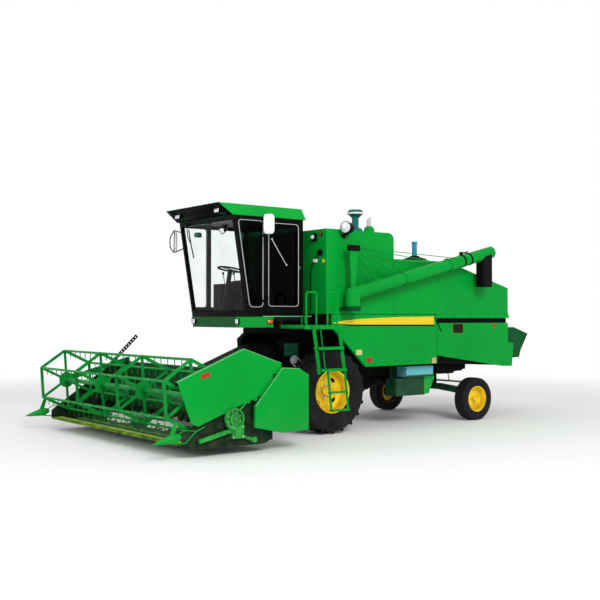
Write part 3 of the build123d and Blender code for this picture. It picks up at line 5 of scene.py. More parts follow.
import bmesh
import bpy
import numpy as np
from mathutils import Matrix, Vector


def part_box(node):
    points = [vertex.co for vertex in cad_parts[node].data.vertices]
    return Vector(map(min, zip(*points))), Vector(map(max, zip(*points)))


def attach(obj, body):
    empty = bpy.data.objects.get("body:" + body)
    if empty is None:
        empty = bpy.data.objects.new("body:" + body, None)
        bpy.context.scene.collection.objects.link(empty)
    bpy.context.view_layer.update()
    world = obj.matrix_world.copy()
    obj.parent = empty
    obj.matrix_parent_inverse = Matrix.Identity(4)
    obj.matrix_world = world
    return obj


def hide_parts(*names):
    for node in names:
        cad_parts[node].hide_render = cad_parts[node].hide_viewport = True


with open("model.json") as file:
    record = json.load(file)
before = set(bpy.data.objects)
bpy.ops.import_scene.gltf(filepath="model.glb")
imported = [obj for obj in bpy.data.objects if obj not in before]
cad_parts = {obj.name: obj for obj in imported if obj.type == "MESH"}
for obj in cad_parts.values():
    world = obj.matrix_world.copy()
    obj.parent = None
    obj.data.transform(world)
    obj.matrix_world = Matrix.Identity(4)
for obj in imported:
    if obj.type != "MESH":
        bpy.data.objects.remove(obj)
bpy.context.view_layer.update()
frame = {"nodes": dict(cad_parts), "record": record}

nodes = frame["nodes"]
scene = bpy.context.scene
scene.view_settings.view_transform = "Standard"

X, Y, Z = range(3)

# Colours are written as red, green, blue from 0 to 255, as a paint card gives them.

BODY_GREEN = (0, 150, 50)
ROOF_GREEN = (14, 160, 56)
DEEP_GREEN = (2, 66, 30)
SHADED_GREEN = (2, 78, 34)
# Near black green on the header's end sheets: painted shade.
END_SHEET_SHADE = (4, 34, 18)
HARVEST_YELLOW = (244, 212, 40)
STRIPE_YELLOW = (228, 200, 42)
FRAME_BLACK = (7, 7, 8)
# Near black for plain black parts, and for painted shade under the machine and on parts in shadow.
PAINTED_SHADE_BLACK = (5, 6, 6)
# Near black on the rims' inner sides: painted shade.
RIM_INSIDE_SHADE = (14, 13, 12)
# Red-brown on the rims: partly grime, partly painted shade in their recesses.
RIM_GRIME_AND_SHADE = (150, 72, 18)
RUBBER = (25, 24, 28)
SEAL_GREY = (196, 200, 200)
FIELD_DUST = (150, 138, 112)
STRAW_GREEN = (96, 158, 52)
# Pale worn steel on the header floor, brightened as a painted reflection of the white surroundings.
WORN_STEEL_AND_REFLECTION = (206, 212, 202)
SIGNAL_RED = (190, 40, 30)
AMBER = (240, 120, 40)


def linear(card):
    """Card colour to linear light, channel by channel by the standard display curve."""
    share = np.array(card) / 255.0
    light = np.where(share <= 0.04045, share / 12.92, ((share + 0.055) / 1.055) ** 2.4)
    return (*light.tolist(), 1.0)


def darker(light, share):
    """Linear colour scaled down, alpha kept."""
    return (light[0] * share, light[1] * share, light[2] * share, 1.0)


# Shader nodes. Groups are built once and set by their inputs.

def set_inputs(node, values):
    """Sets inputs by label, written with _ for a space."""
    for label, value in values.items():
        node.inputs[label.replace("_", " ")].default_value = value
    return node


def group(name, inputs, outputs):
    """Empty shader group: inputs {name: value}, a colour as a tuple, and outputs {name: kind}."""
    tree = bpy.data.node_groups.new(name, "ShaderNodeTree")
    for label, value in inputs.items():
        kind = "NodeSocketColor" if isinstance(value, tuple) else "NodeSocketFloat"
        made = tree.interface.new_socket(name=label, in_out="INPUT", socket_type=kind)
        made.default_value = value
    for label, kind in outputs.items():
        tree.interface.new_socket(name=label, in_out="OUTPUT", socket_type=f"NodeSocket{kind}")
    given, result = tree.nodes.new("NodeGroupInput"), tree.nodes.new("NodeGroupOutput")
    return tree, given.outputs, result.inputs


def use_group(tree, made, **values):
    """A group's node in a tree, with its inputs set."""
    node = tree.nodes.new("ShaderNodeGroup")
    node.node_tree = made
    return set_inputs(node, values)


def place(tree, kind, links=(), **values):
    """One node: links feed its inputs from other sockets, values set its properties or inputs."""
    node = tree.nodes.new(kind)
    for key in [key for key in values if hasattr(node, key)]:
        setattr(node, key, values.pop(key))
    for where, source in links:
        tree.links.new(source, node.inputs[where])
    return set_inputs(node, values)


def maths(tree, operation, first, second=None, clamp=False):
    """Math node on sockets or numbers."""
    node = tree.nodes.new("ShaderNodeMath")
    node.operation, node.use_clamp = operation, clamp
    for index, value in enumerate((first, second)):
        if isinstance(value, (int, float)):
            node.inputs[index].default_value = value
        elif value is not None:
            tree.links.new(value, node.inputs[index])
    return node.outputs[0]


def sums(tree):
    """Makers of add, subtract and multiply nodes in one tree."""
    return [partial(maths, tree, operation) for operation in ("ADD", "SUBTRACT", "MULTIPLY")]


def blend_colours(tree, factor, first, second):
    """Colour mix on sockets, numbers or linear colours."""
    node = place(tree, "ShaderNodeMix", data_type="RGBA")
    for where, value in ((0, factor), (6, first), (7, second)):
        if isinstance(value, (int, float, tuple)):
            node.inputs[where].default_value = value
        else:
            tree.links.new(value, node.inputs[where])
    return node.outputs[2]


def ramp(tree, value, low, high):
    """Smooth 0 to 1 between two values."""
    return place(tree, "ShaderNodeMapRange", [("Value", value)], interpolation_type="SMOOTHSTEP",
                 From_Min=low, From_Max=high).outputs[0]


def own_place(tree):
    """The object's own coordinates as one socket."""
    return place(tree, "ShaderNodeTexCoord").outputs["Object"]


def own_axes(tree):
    """The object's own x, y and z as three sockets."""
    return place(tree, "ShaderNodeSeparateXYZ", [("Vector", own_place(tree))]).outputs


def noise(tree, scale, detail):
    """Noise on the object's own coordinates."""
    return place(tree, "ShaderNodeTexNoise", [("Vector", own_place(tree))],
                 Scale=scale, Detail=detail).outputs[0]


def weathering_group():
    """Dust low down and on faces that look up, broken by noise, with a fine grain for the bump."""
    tree, given, result = group(
        "weathering",
        {"Paint": (0.5, 0.5, 0.5, 1), "Shade": (0.4, 0.4, 0.4, 1), "Dust": linear(FIELD_DUST),
         "Dust Amount": 0.2, "Base Roughness": 0.3, "Dust Height": 1.0},
        {"Color": "Color", "Roughness": "Float", "Height": "Float"})
    add, less, times = sums(tree)
    broad, patchy, fine = noise(tree, 0.9, 3.0), noise(tree, 7.0, 5.0), noise(tree, 160.0, 2.0)
    toned = blend_colours(tree, ramp(tree, broad, 0.35, 0.75), given["Paint"], given["Shade"])
    normal = place(tree, "ShaderNodeNewGeometry").outputs["Normal"]
    facing = place(tree, "ShaderNodeSeparateXYZ", [("Vector", normal)]).outputs[Z]
    fallen = maths(tree, "DIVIDE", own_axes(tree)[Z], given["Dust Height"])
    settled = times(ramp(tree, facing, 0.5, 1.0), 0.5)
    mask = add(less(1.0, fallen, clamp=True), settled, clamp=True)
    mask = times(mask, ramp(tree, patchy, 0.32, 0.72))
    mask = times(mask, given["Dust Amount"], clamp=True)
    rough = add(given["Base Roughness"], add(times(mask, 0.6), times(patchy, 0.06)), clamp=True)
    tree.links.new(blend_colours(tree, mask, toned, given["Dust"]), result["Color"])
    tree.links.new(rough, result["Roughness"])
    tree.links.new(add(fine, times(mask, patchy)), result["Height"])
    return tree


def rounded_edge_group():
    """Normal rounded over a set radius near an edge, so that a sharp fold catches the light."""
    tree, given, result = group("rounded_edge", {"Radius": 0.004}, {"Normal": "Vector"})
    edge = place(tree, "ShaderNodeBevel", [("Radius", given["Radius"])], samples=4)
    tree.links.new(edge.outputs[0], result["Normal"])
    return tree


RING_WAVES, BAR_WAVES = 170.0, 110.0  # radians a metre


def relief_group():
    """Rings sin(170 r) at distance r from an axle, and raised bars sin(a(x+y)) sin(a(x-y))."""
    tree, given, result = group(
        "relief", {"Height": 0.0, "Axle X": 0.0, "Axle Z": 0.0, "Rings": 0.0, "Bars": 0.0},
        {"Height": "Float"})
    add, less, times = sums(tree)
    axes = own_axes(tree)
    wave = lambda length, waves: maths(tree, "SINE", times(length, waves))
    across, up = less(axes[X], given["Axle X"]), less(axes[Z], given["Axle Z"])
    reach = maths(tree, "SQRT", add(times(across, across), times(up, up)))
    bars = times(wave(add(axes[X], axes[Y]), BAR_WAVES), wave(less(axes[X], axes[Y]), BAR_WAVES))
    height = add(given["Height"], times(wave(reach, RING_WAVES), given["Rings"]))
    height = add(height, times(ramp(tree, bars, 0.3, 0.7), given["Bars"]))
    tree.links.new(height, result["Height"])
    return tree


WEATHERING = weathering_group()
ROUNDED_EDGE = rounded_edge_group()
RELIEF = relief_group()


def new_material(name, **values):
    """Material, its tree and its shader's inputs; values set the shader's own sockets."""
    material = bpy.data.materials.new(name)
    material.use_nodes = True
    shader = set_inputs(material.node_tree.nodes["Principled BSDF"], values)
    return material, material.node_tree, shader.inputs


def finish(name, colour, roughness, dust=0.15, dust_height=1.2, metallic=0.0, bump=0.15,
           bump_distance=0.0006, edge=0.0, shade=0.86, specular=0.5, dust_colour=FIELD_DUST):
    """A weathered finish: the weathering group's colour, roughness and height on one shader."""
    material, tree, shader = new_material(name, Metallic=metallic, Specular_IOR_Level=specular)
    paint = linear(colour)
    worn = use_group(tree, WEATHERING, Paint=paint, Shade=darker(paint, shade),
                     Dust=linear(dust_colour), Dust_Amount=dust, Base_Roughness=roughness,
                     Dust_Height=dust_height)
    tree.links.new(worn.outputs["Color"], shader["Base Color"])
    tree.links.new(worn.outputs["Roughness"], shader["Roughness"])
    raised = place(tree, "ShaderNodeBump", [("Height", worn.outputs["Height"])],
                   Strength=bump, Distance=bump_distance)
    if edge:
        rounded = use_group(tree, ROUNDED_EDGE, Radius=edge)
        tree.links.new(rounded.outputs[0], raised.inputs["Normal"])
    tree.links.new(raised.outputs[0], shader["Normal"])
    return material


def glass_finish(name, colour, specular, index):
    """Tinted pane with a faint dust film in its colour and roughness."""
    material, tree, shader = new_material(name, Transmission_Weight=1.0, IOR=index,
                                          Specular_IOR_Level=specular)
    film, tint = noise(tree, 3.0, 4.0), linear(colour)
    toned = blend_colours(tree, ramp(tree, film, 0.3, 0.8), tint, darker(tint, 0.93))
    tree.links.new(toned, shader["Base Color"])
    tree.links.new(maths(tree, "MULTIPLY", film, 0.04), shader["Roughness"])
    return material


def lens_finish(name, colour):
    """Moulded lamp lens: fine slanting flutes as a bump over a bright reflector colour."""
    material, tree, shader = new_material(name, Coat_Weight=1.0, Metallic=0.35)
    flutes = place(tree, "ShaderNodeTexWave", [("Vector", own_place(tree))], Scale=45.0,
                   bands_direction="DIAGONAL").outputs[1]
    tint = linear(colour)
    tree.links.new(blend_colours(tree, flutes, tint, darker(tint, 0.7)), shader["Base Color"])
    tree.links.new(maths(tree, "MULTIPLY", flutes, 0.25), shader["Roughness"])
    raised = place(tree, "ShaderNodeBump", [("Height", flutes)], Strength=0.5, Distance=0.001)
    tree.links.new(raised.outputs[0], shader["Normal"])
    return material


def zoned(material, *zones, ragged=0.0):
    """Other paint inside bounds, frayed by noise; a zone is (colour, (axis, low, high), ...)."""
    tree = material.node_tree
    add, less, times = sums(tree)
    worn = next(node for node in tree.nodes if getattr(node, "node_tree", None) == WEATHERING)
    axes, given = own_axes(tree), worn.inputs["Paint"]
    paint = given.links[0].from_socket if given.is_linked else tuple(given.default_value)
    if ragged:
        fray = times(less(noise(tree, 8.0, 5.0), 0.5), ragged)
        axes = [add(axes[X], fray), add(axes[Y], fray), axes[Z]]
    for colour, *bounds in zones:
        mask = 1.0
        for axis, low, high in bounds:
            for operation, limit in (("GREATER_THAN", low), ("LESS_THAN", high)):
                mask = times(maths(tree, operation, axes[axis], limit), mask)
        paint = blend_colours(tree, mask, paint, linear(colour))
    for label in ("Paint", "Shade"):
        tree.links.new(paint, worn.inputs[label])
    return material


def with_relief(material, distance, **amounts):
    """Puts the relief group between the weathering's height and the bump."""
    tree = material.node_tree
    raised = next(node for node in tree.nodes if node.type == "BUMP").inputs
    relief = use_group(tree, RELIEF, **amounts)
    tree.links.new(raised["Height"].links[0].from_socket, relief.inputs["Height"])
    tree.links.new(relief.outputs[0], raised["Height"])
    raised["Distance"].default_value = distance
    return material


def tyre_finish(name, axle_x, axle_z):
    """Rubber with moulded rings on the wall and field dust in them."""
    rubber = finish(name, RUBBER, 0.66, dust=0.28, dust_height=0.7, bump=0.7, specular=0.1,
                    dust_colour=(74, 70, 68))
    return with_relief(rubber, 0.003, Axle_X=axle_x, Axle_Z=axle_z, Rings=0.6)


# Materials: one for each slot in the record, then those of single nodes and pieces.

DRIVE_AXLE_AT, STEER_AXLE_AT = (0.0, 0.6325), (-3.15, 0.36)
DARK_WEAR = dict(dust=0.12, dust_height=1.2, edge=0.004, specular=0.08)
# Wheel paint's dust is the red-brown: grime, and painted shade in the rims' recesses.
WHEEL_WEAR_AND_SHADE = dict(dust=0.6, dust_height=1.5, specular=0.15, dust_colour=RIM_GRIME_AND_SHADE, shade=0.92)
# Reel and arms: darker green patches low down and on faces that look up, broken by noise.
REEL_DARK_PATCHES = dict(dust_height=2.2, dust_colour=(3, 44, 20))
SLOT_PAINTS = {
    "body_paint": (BODY_GREEN, 0.34, dict(dust=0.07, dust_height=0.7, edge=0.006, specular=0.07)),
    "roof_paint": (ROOF_GREEN, 0.32, dict(dust=0.05, edge=0.008, specular=0.08)),
    "dark_paint": (DEEP_GREEN, 0.45, DARK_WEAR),
    "wheel_paint": (HARVEST_YELLOW, 0.36, WHEEL_WEAR_AND_SHADE),
    "frame_black": (FRAME_BLACK, 0.42, dict(dust=0.04, edge=0.004, specular=0.06)),
    "bright_rod": ((214, 216, 220), 0.12, dict(dust=0.05, metallic=1.0)),
    "steel": ((150, 170, 60), 0.42, dict(dust=0.3, metallic=0.3)),
    "pipe_grey": ((196, 200, 198), 0.45, dict(dust=0.1, metallic=0.5)),
    "teal_paint": ((20, 110, 104), 0.35, dict(dust=0.1, dust_height=3.6, specular=0.15)),
    "seat_fabric": ((18, 19, 20), 0.85,
                    dict(dust=0.05, bump=0.6, bump_distance=0.0015, specular=0.1)),
    "rubber_black": ((10, 10, 11), 0.6,
                     dict(dust=0.05, bump=0.4, bump_distance=0.001, specular=0.08)),
    "mirror_shell": ((232, 236, 238), 0.3, dict(dust=0.05)),
}
FINISH = {slot: finish(slot, colour, roughness, **wear)
          for slot, (colour, roughness, wear) in SLOT_PAINTS.items()}
FINISH["tyre_rubber"] = tyre_finish("tyre_rubber", *DRIVE_AXLE_AT)
FINISH["clear_glass"] = glass_finish("clear_glass", (250, 254, 252), 0.1, 1.12)
FINISH["lamp_lens"] = lens_finish("lamp_lens", (232, 236, 240))

# Glass tinted darker on the near quarter, rear and door panes: painted shade of the dark cab behind
# them.
SHADE_DARKENED_GLASS = glass_finish("shade_darkened_glass", (52, 100, 84), 0.05, 1.1)
DOOR_SHADE_GLASS = glass_finish("door_shade_glass", (28, 62, 50), 0.04, 1.1)
AMBER_LENS = lens_finish("amber_lens", AMBER)
RED_LENS = lens_finish("red_lens", SIGNAL_RED)
TAN_LENS = lens_finish("tan_reflector", (206, 170, 120))
SEAL = finish("window_seal", SEAL_GREY, 0.55, dust=0.08)
STRIPE = finish("stripe_film", STRIPE_YELLOW, 0.35, dust=0.05, specular=0.1)
MIRROR = finish("mirror_face", (220, 226, 228), 0.06, dust=0.03, metallic=1.0, bump=0.02)
# Black parts, and painted shade on parts that lie in shadow.
BLACK_SHADE = finish("black_and_painted_shade", PAINTED_SHADE_BLACK, 0.6, dust=0.04, specular=0.05)
SHADE_PAINT = finish("shaded_paint", SHADED_GREEN, 0.42, dust=0.1, dust_height=1.6, edge=0.004,
                     specular=0.07)
# Pale green laid on rolled edges: a painted highlight.
EDGE_HIGHLIGHT = finish("painted_edge_highlight", (120, 206, 140), 0.35, dust=0.1, specular=0.2)
TEAL_LAMP = finish("teal_lamp", (20, 120, 112), 0.3, dust=0.05, specular=0.3)
RED_LABEL = finish("red_label", (170, 52, 34), 0.4, dust=0.1, specular=0.1)
PALE_LABEL = finish("pale_label", (190, 196, 120), 0.45, dust=0.1, specular=0.1)
DARK_PLATE = finish("dark_plate", (22, 24, 20), 0.4, dust=0.05, specular=0.1)
# Knife, sections and knife drive: dust colours of darker green, in patches low down and on faces
# that look up, broken by noise.
KNIFE_STEEL = finish("knife_steel", (128, 168, 46), 0.4, dust=1.0, metallic=0.2,
                     dust_height=2.0, dust_colour=(16, 52, 20), specular=0.2)
SECTION_STEEL = finish("section_steel", (176, 206, 92), 0.35, dust=0.6, dust_height=2.0,
                       metallic=0.2, dust_colour=(60, 104, 40))
CHAIN_STEEL = finish("chain_steel", (222, 224, 228), 0.3, dust=0.35, dust_height=3.0,
                     metallic=0.3, dust_colour=(20, 20, 24))
DRIVE_PAINT = finish("drive_paint", (40, 168, 58), 0.3, dust=0.9, dust_height=1.4,
                     dust_colour=(4, 50, 22), specular=0.3, edge=0.003)

# Nodes painted in more than one colour, some zones as painted shade: bounds in metres on the
# machine's axes.
# Rims yellow, their inner sides near black as painted shade.
RIM_PAINT_AND_SHADE = {
    kind: zoned(finish(f"{kind}_rim_paint", HARVEST_YELLOW, 0.36, **WHEEL_WEAR_AND_SHADE),
                (RIM_INSIDE_SHADE, (Y, -inner, inner)))
    for kind, inner in (("drive", 0.92), ("steer", 1.062))}
BATTERY = zoned(finish("battery_case", (2, 62, 34), 0.3, dust=0.12, specular=0.15),
                ((96, 176, 186), (Z, 0.7775, 0.96), (Y, 0.79, 1.04)),
                (BODY_GREEN, (X, -2.31, -2.055), (Z, 0.4, 0.776)))
# Platform black except its front and its left end, its front beam face darker green: both painted
# shade.
PLATFORM_PAINT_AND_SHADE = with_relief(zoned(
    finish("platform_paint_and_shade", (8, 10, 9), 0.4, dust=0.08, dust_height=2.4, edge=0.004, bump=0.5,
           specular=0.08),
    (BODY_GREEN, (X, 0.858, 1.46)), ((6, 84, 36), (X, 1.38, 1.46), (Y, -0.6, 0.7)),
    (BODY_GREEN, (Y, 0.82, 1.5))), 0.004, Bars=1.0)
# Separator hull black as painted shade, its rear end in the shaded green.
HULL_PAINTED_SHADE = zoned(finish("hull_painted_shade", PAINTED_SHADE_BLACK, 0.6, dust=0.04, specular=0.05),
                   (SHADED_GREEN, (X, -4.2, -3.95), (Z, 0.9, 1.9)))
# Header trough: straw bands, and pale floor patches of worn steel with a painted reflection.
TROUGH_PAINT_SHADE_AND_SHEEN = zoned(
    finish("trough_paint_shade_and_sheen", DEEP_GREEN, 0.45, **DARK_WEAR),
    *[(STRAW_GREEN, (X, low, low + 0.06), (Z, 0.15, 0.24)) for low in (2.62, 2.74, 2.86)],
    *[(WORN_STEEL_AND_REFLECTION, (X, 2.0, 2.42), (Y, low, high), (Z, 0.15, 0.275))
      for low, high in ((-1.50, -0.72), (-0.20, 0.66))], ragged=0.5)
# End sheets of the header darker: painted shade.
TROUGH_PAINT_SHADE_AND_SHEEN = zoned(TROUGH_PAINT_SHADE_AND_SHEEN, (END_SHEET_SHADE, (Y, 1.999, 2.2)), (END_SHEET_SHADE, (Y, -2.2, -1.999)))
REEL_PAINT = finish("reel_paint", (8, 146, 54), 0.36, dust=0.5, specular=0.12, edge=0.002,
                    **REEL_DARK_PATCHES)
# The far reel arm near black from 1.16 to 1.6 m up: painted shade.
ARM_PAINT_AND_SHADE = zoned(finish("arm_paint_and_shade", (2, 122, 44), 0.4, dust=0.4, specular=0.1, **REEL_DARK_PATCHES),
                  ((8, 22, 12), (Z, 1.16, 1.6), (Y, -2.0, -1.9)))
STEER_RUBBER = tyre_finish("steer_tyre_rubber", *STEER_AXLE_AT)

OWN_FINISH = {
    "filler_neck": finish("blue_stack", (30, 140, 180), 0.35, dust=0.1, specular=0.2),
    "radiator_screen": with_relief(finish(
        "screen_mesh", (30, 32, 32), 0.5, dust=0.5, dust_height=4.0, bump=0.9, specular=0.15),
        0.006, Bars=1.0),
    # Hull and feeder house black, auger and straw hood shaded green: painted shade. Frame, axle and
    # shoe are black too.
    "separator_hull": HULL_PAINTED_SHADE, "chassis_frame": BLACK_SHADE, "drive_axle": BLACK_SHADE,
    "cleaning_shoe": BLACK_SHADE, "feeder_house": BLACK_SHADE, "battery_box": BATTERY,
    "header_platform": TROUGH_PAINT_SHADE_AND_SHEEN, "reel": REEL_PAINT, "reel_arms": ARM_PAINT_AND_SHADE,
    "header_auger": SHADE_PAINT, "straw_hood": SHADE_PAINT, "cutter_bar": KNIFE_STEEL,
    "knife_drive": DRIVE_PAINT, "platform": PLATFORM_PAINT_AND_SHADE, "lamps": FINISH["frame_black"],
    "unloading_spout": FINISH["rubber_black"], "unloading_base": FINISH["dark_paint"]}
for side in ("left", "right"):
    OWN_FINISH[f"steer_tyre_{side}"] = STEER_RUBBER
    for kind, paint in RIM_PAINT_AND_SHADE.items():
        OWN_FINISH[f"{kind}_rim_{side}"] = paint
SLOT_OF = {part["node"]: part["material_slot"] for part in frame["record"]["subparts"]}
for node_name, node_object in nodes.items():
    for material_slot in node_object.material_slots:
        material_slot.material = OWN_FINISH.get(node_name, FINISH[SLOT_OF[node_name]])


# Making pieces: a shape is (points, faces), worked out as whole arrays.

def grid_faces(rows, columns, wrap_rows=False, wrap_columns=False):
    """Quads between neighbouring points of a rows x columns grid."""
    row = np.arange(rows if wrap_rows else rows - 1)[:, None]
    column = np.arange(columns if wrap_columns else columns - 1)[None, :]
    next_row, next_column = (row + 1) % rows, (column + 1) % columns
    corners = (row * columns + column, next_row * columns + column,
               next_row * columns + next_column, row * columns + next_column)
    return np.stack(np.broadcast_arrays(*corners), -1).reshape(-1, 4)


def joined(parts):
    """Several shapes as one, the faces renumbered."""
    points, faces, start = [], [], 0
    for part_points, part_faces in parts:
        points.append(np.asarray(part_points, float))
        faces.extend((np.asarray(face) + start).tolist() for face in part_faces)
        start += len(part_points)
    return np.concatenate(points), faces


def repeated(shape, offsets):
    """One shape at many places: its points plus each offset, its faces renumbered by copies."""
    points, faces = np.asarray(shape[0], float), shape[1]
    offsets = np.asarray(offsets, float)
    many = (points[None] + offsets[:, None]).reshape(-1, 3)
    starts = np.arange(len(offsets)) * len(points)
    return many, [(np.asarray(face) + start).tolist() for start in starts for face in faces]


def slab(outline, thickness):
    """Flat outline moved by one thickness vector: a cap at each end, a quad along each edge."""
    near = np.asarray(outline, float)
    count = len(near)
    ends = np.arange(count)
    sides = np.stack([ends, (ends + 1) % count, (ends + 1) % count + count, ends + count], -1)
    faces = [ends[::-1].tolist(), (ends + count).tolist(), *sides.tolist()]
    return np.concatenate([near, near + thickness]), faces


def on_side(outline, y, thickness):
    """Slab from (x, z) points standing on a side wall at y."""
    return slab([(x, y, z) for x, z in outline], (0, thickness, 0))


def rectangle(first_x, second_x, low_z, high_z):
    """Four (x, z) corners in order round the edge."""
    return [(first_x, low_z), (first_x, high_z), (second_x, high_z), (second_x, low_z)]


def block(low, high):
    """Slab between two corners."""
    (x0, y0, z0), (x1, y1, z1) = low, high
    return slab([(x0, y0, z0), (x1, y0, z0), (x1, y1, z0), (x0, y1, z0)], (0, 0, z1 - z0))


def rounded_path(corners, radius, steps=6, closed=True):
    """Polygon, each corner a parabola between the points a radius away along its edges."""
    points = np.asarray(corners, float)
    before, after = np.roll(points, 1, 0), np.roll(points, -1, 0)

    def toward(other):
        away = other - points
        return (points + away / np.linalg.norm(away, axis=1)[:, None] * radius)[:, None]

    t = np.linspace(0, 1, steps)[None, :, None]
    arcs = ((1 - t) ** 2 * toward(before) + 2 * t * (1 - t) * points[:, None]
            + t ** 2 * toward(after))
    if closed:
        return arcs.reshape(-1, 3)
    return np.concatenate([points[:1], arcs[1:-1].reshape(-1, 3), points[-1:]])


def swept(path, profile, up=(0, 0, 1), closed=False):
    """Profile (u, v) carried along a path: u along tangent x up, v along the normal left over."""
    path, profile = np.asarray(path, float), np.asarray(profile, float)
    if closed:
        along = np.roll(path, -1, 0) - np.roll(path, 1, 0)
    else:
        along = np.gradient(path, axis=0)
    along /= np.linalg.norm(along, axis=1)[:, None]
    across = np.cross(along, np.asarray(up, float))
    across /= np.linalg.norm(across, axis=1)[:, None]
    lift = np.cross(across, along)
    points = (path[:, None] + across[:, None] * profile[None, :, :1]
              + lift[:, None] * profile[None, :, 1:])
    rows, columns = len(path), len(profile)
    faces = grid_faces(rows, columns, closed, True).tolist()
    if not closed:
        faces += [list(range(columns)), list(range((rows - 1) * columns, rows * columns))]
    return points.reshape(-1, 3), faces


def oblong(width, height):
    """Rectangle profile with trimmed corners, for bands and seals."""
    w, h, cut = width / 2, height / 2, min(width, height) * 0.25
    return [(-w, -h + cut), (-w + cut, -h), (w - cut, -h), (w, -h + cut), (w, h - cut),
            (w - cut, h), (-w + cut, h), (-w, h - cut)]


def tube(path, radius, sides=8, up=(0, 0, 1)):
    """Round profile swept along a path."""
    turn = np.arange(sides) * 2 * pi / sides
    return swept(path, np.stack([radius * np.cos(turn), radius * np.sin(turn)], -1), up)


def turned(profile, at, direction, count=32):
    """Profile (distance, radius) turned: at + distance * axis + radius * (cos e1 + sin e2)."""
    profile = np.asarray(profile, float)
    axis = np.asarray(direction, float) / np.linalg.norm(direction)
    first = np.cross(axis, (0, 0, 1) if abs(axis[Z]) < 0.9 else (1, 0, 0))
    first /= np.linalg.norm(first)
    second = np.cross(axis, first)
    turn = np.arange(count) * 2 * pi / count
    circle = np.cos(turn)[:, None] * first + np.sin(turn)[:, None] * second
    points = np.asarray(at) + profile[:, None, :1] * axis + profile[:, None, 1:] * circle[None]
    return points.reshape(-1, 3), grid_faces(len(profile), count, False, True)


def hoop(profile, at, direction, count):
    """Turned like the above from a closed profile, so that it has a hole."""
    points, _ = turned(profile, at, direction, count)
    return points, grid_faces(len(profile), count, True, True)


def plug(radius, height, at, direction, count, top=None):
    """Disc from radius at its foot to another at its top, closed at both ends."""
    top = radius if top is None else top
    return turned([(0, 0), (0, radius), (height, top), (height, 0)], at, direction, count)


def hex_heads(direction, radius, height, spots):
    """Bolt heads: a six-sided turned profile with a small trimmed crown, at many places."""
    profile = [(0, 0), (0, radius), (height * 0.8, radius), (height, radius * 0.8), (height, 0)]
    return repeated(turned(profile, (0, 0, 0), direction, 6), spots)


def bowl(centre, across, upward, depth):
    """Lens: centre + u * across + v * upward + (1 - u^4)(1 - v^4) * depth, closed by its back."""
    wide, tall = 13, 9
    u, v = np.meshgrid(np.linspace(-1, 1, wide), np.linspace(-1, 1, tall), indexing="ij")
    height = (1 - u ** 4) * (1 - v ** 4)
    across, upward, depth = (np.asarray(vector, float) for vector in (across, upward, depth))
    flat = np.asarray(centre) + u[..., None] * across + v[..., None] * upward
    front, back = flat + height[..., None] * depth, flat - depth * 0.3
    faces, number = grid_faces(wide, tall), np.arange(wide * tall).reshape(wide, tall)
    rim = np.concatenate([number[0], number[1:, -1], number[-1, -2::-1], number[-2:0:-1, 0]])
    walls = np.stack([rim, np.roll(rim, -1), np.roll(rim, -1) + number.size, rim + number.size], -1)
    points = np.concatenate([front.reshape(-1, 3), back.reshape(-1, 3)])
    return points, [*faces.tolist(), *(faces[:, ::-1] + number.size).tolist(), *walls.tolist()]


def piece(name, shape, paint, slot=None, body="machine", crease=35.0, bevel=0.0, solid=0.0):
    """Mesh object riding on a body: doubles merged, faces outward, sharp where edges crease.

    Paint is the name of a slot, or a material with the slot's name beside it.
    """
    points, faces = shape
    material, slot = (paint, slot) if slot else (FINISH[paint], paint)
    mesh = bpy.data.meshes.new(name)
    mesh.from_pydata(np.asarray(points, float).tolist(), [], [list(face) for face in faces])
    work = bmesh.new()
    work.from_mesh(mesh)
    bmesh.ops.remove_doubles(work, verts=work.verts, dist=1e-6)
    bmesh.ops.recalc_face_normals(work, faces=work.faces)
    work.to_mesh(mesh)
    work.free()
    mesh.shade_smooth()
    mesh.set_sharp_from_angle(angle=radians(crease))
    mesh.materials.append(material)
    made = bpy.data.objects.new(name, mesh)
    scene.collection.objects.link(made)
    if solid:
        made.modifiers.new("wall", "SOLIDIFY").thickness = solid
    if bevel:
        rounding = made.modifiers.new("rounding", "BEVEL")
        rounding.width, rounding.segments, rounding.limit_method = bevel, 3, "ANGLE"
    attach(made, body)
    return made


# Sizes read off the CAD, in metres.

SIDE, HOOD_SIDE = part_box("side_panels_left")[1][Y], 1.1005
CAB_FLOOR, CAB_TOP = 1.79, 3.225
CAB_FRONT_FOOT, CAB_FRONT_LEAN = 1.30, 0.235
DOOR_X, DOOR_Z = (0.39, 0.925), (1.92, 3.135)
PANE, LEFT_PANE, RIGHT_PANE, CAB_SEAL = 0.006, 0.762, -0.768, 0.783
BRACKET_WALL = 0.785
ROOF_LOW, ROOF_HIGH = (1.561, 3.225), (1.787, 3.39)
HUB_FACE_DRIVE, HUB_FACE_STEER = 0.985 - 0.052, 1.08 - 0.004
DISC_FOOT, DISC_SLOPE, DISC_INNER = 0.933, 0.2284, 0.13
DISC_SLOT_REACH, DISC_SLOT_HALF, DISC_SLOT_TURN = 0.212, 0.026, 0.24
SHIELD_FRONT, SHIELD_REAR = 2.058, 2.104
HEADER_END, KNIFE_PITCH, KNIFE_BAR_TOP = 2.0, 0.0762, 0.1905
KNIFE_AT, KNIFE_OUT = (2.385, 0.465), 2.126
THRESHER_SIDE, TANK_FRONT, TANK_FLOOR = 0.62, 0.14, 1.95
UNLOADER_FOOT, UNLOADER_LEAN = (-0.23, 1.33, 2.10), radians(13.7)
FILM = 0.0015  # thickness of a stripe or label
DIAGONAL = ((-1, -1), (1, -1), (1, 1), (-1, 1))


def cab_front(z):
    """Where the leaning windscreen plane stands at a height."""
    return CAB_FRONT_FOOT + CAB_FRONT_LEAN * (z - CAB_FLOOR) / (CAB_TOP - CAB_FLOOR)


def door_outline(grown):
    """The door's opening, made larger by a margin on each side."""
    return rectangle(DOOR_X[0] - grown, DOOR_X[1] + grown, DOOR_Z[0] - grown, DOOR_Z[1] + grown)


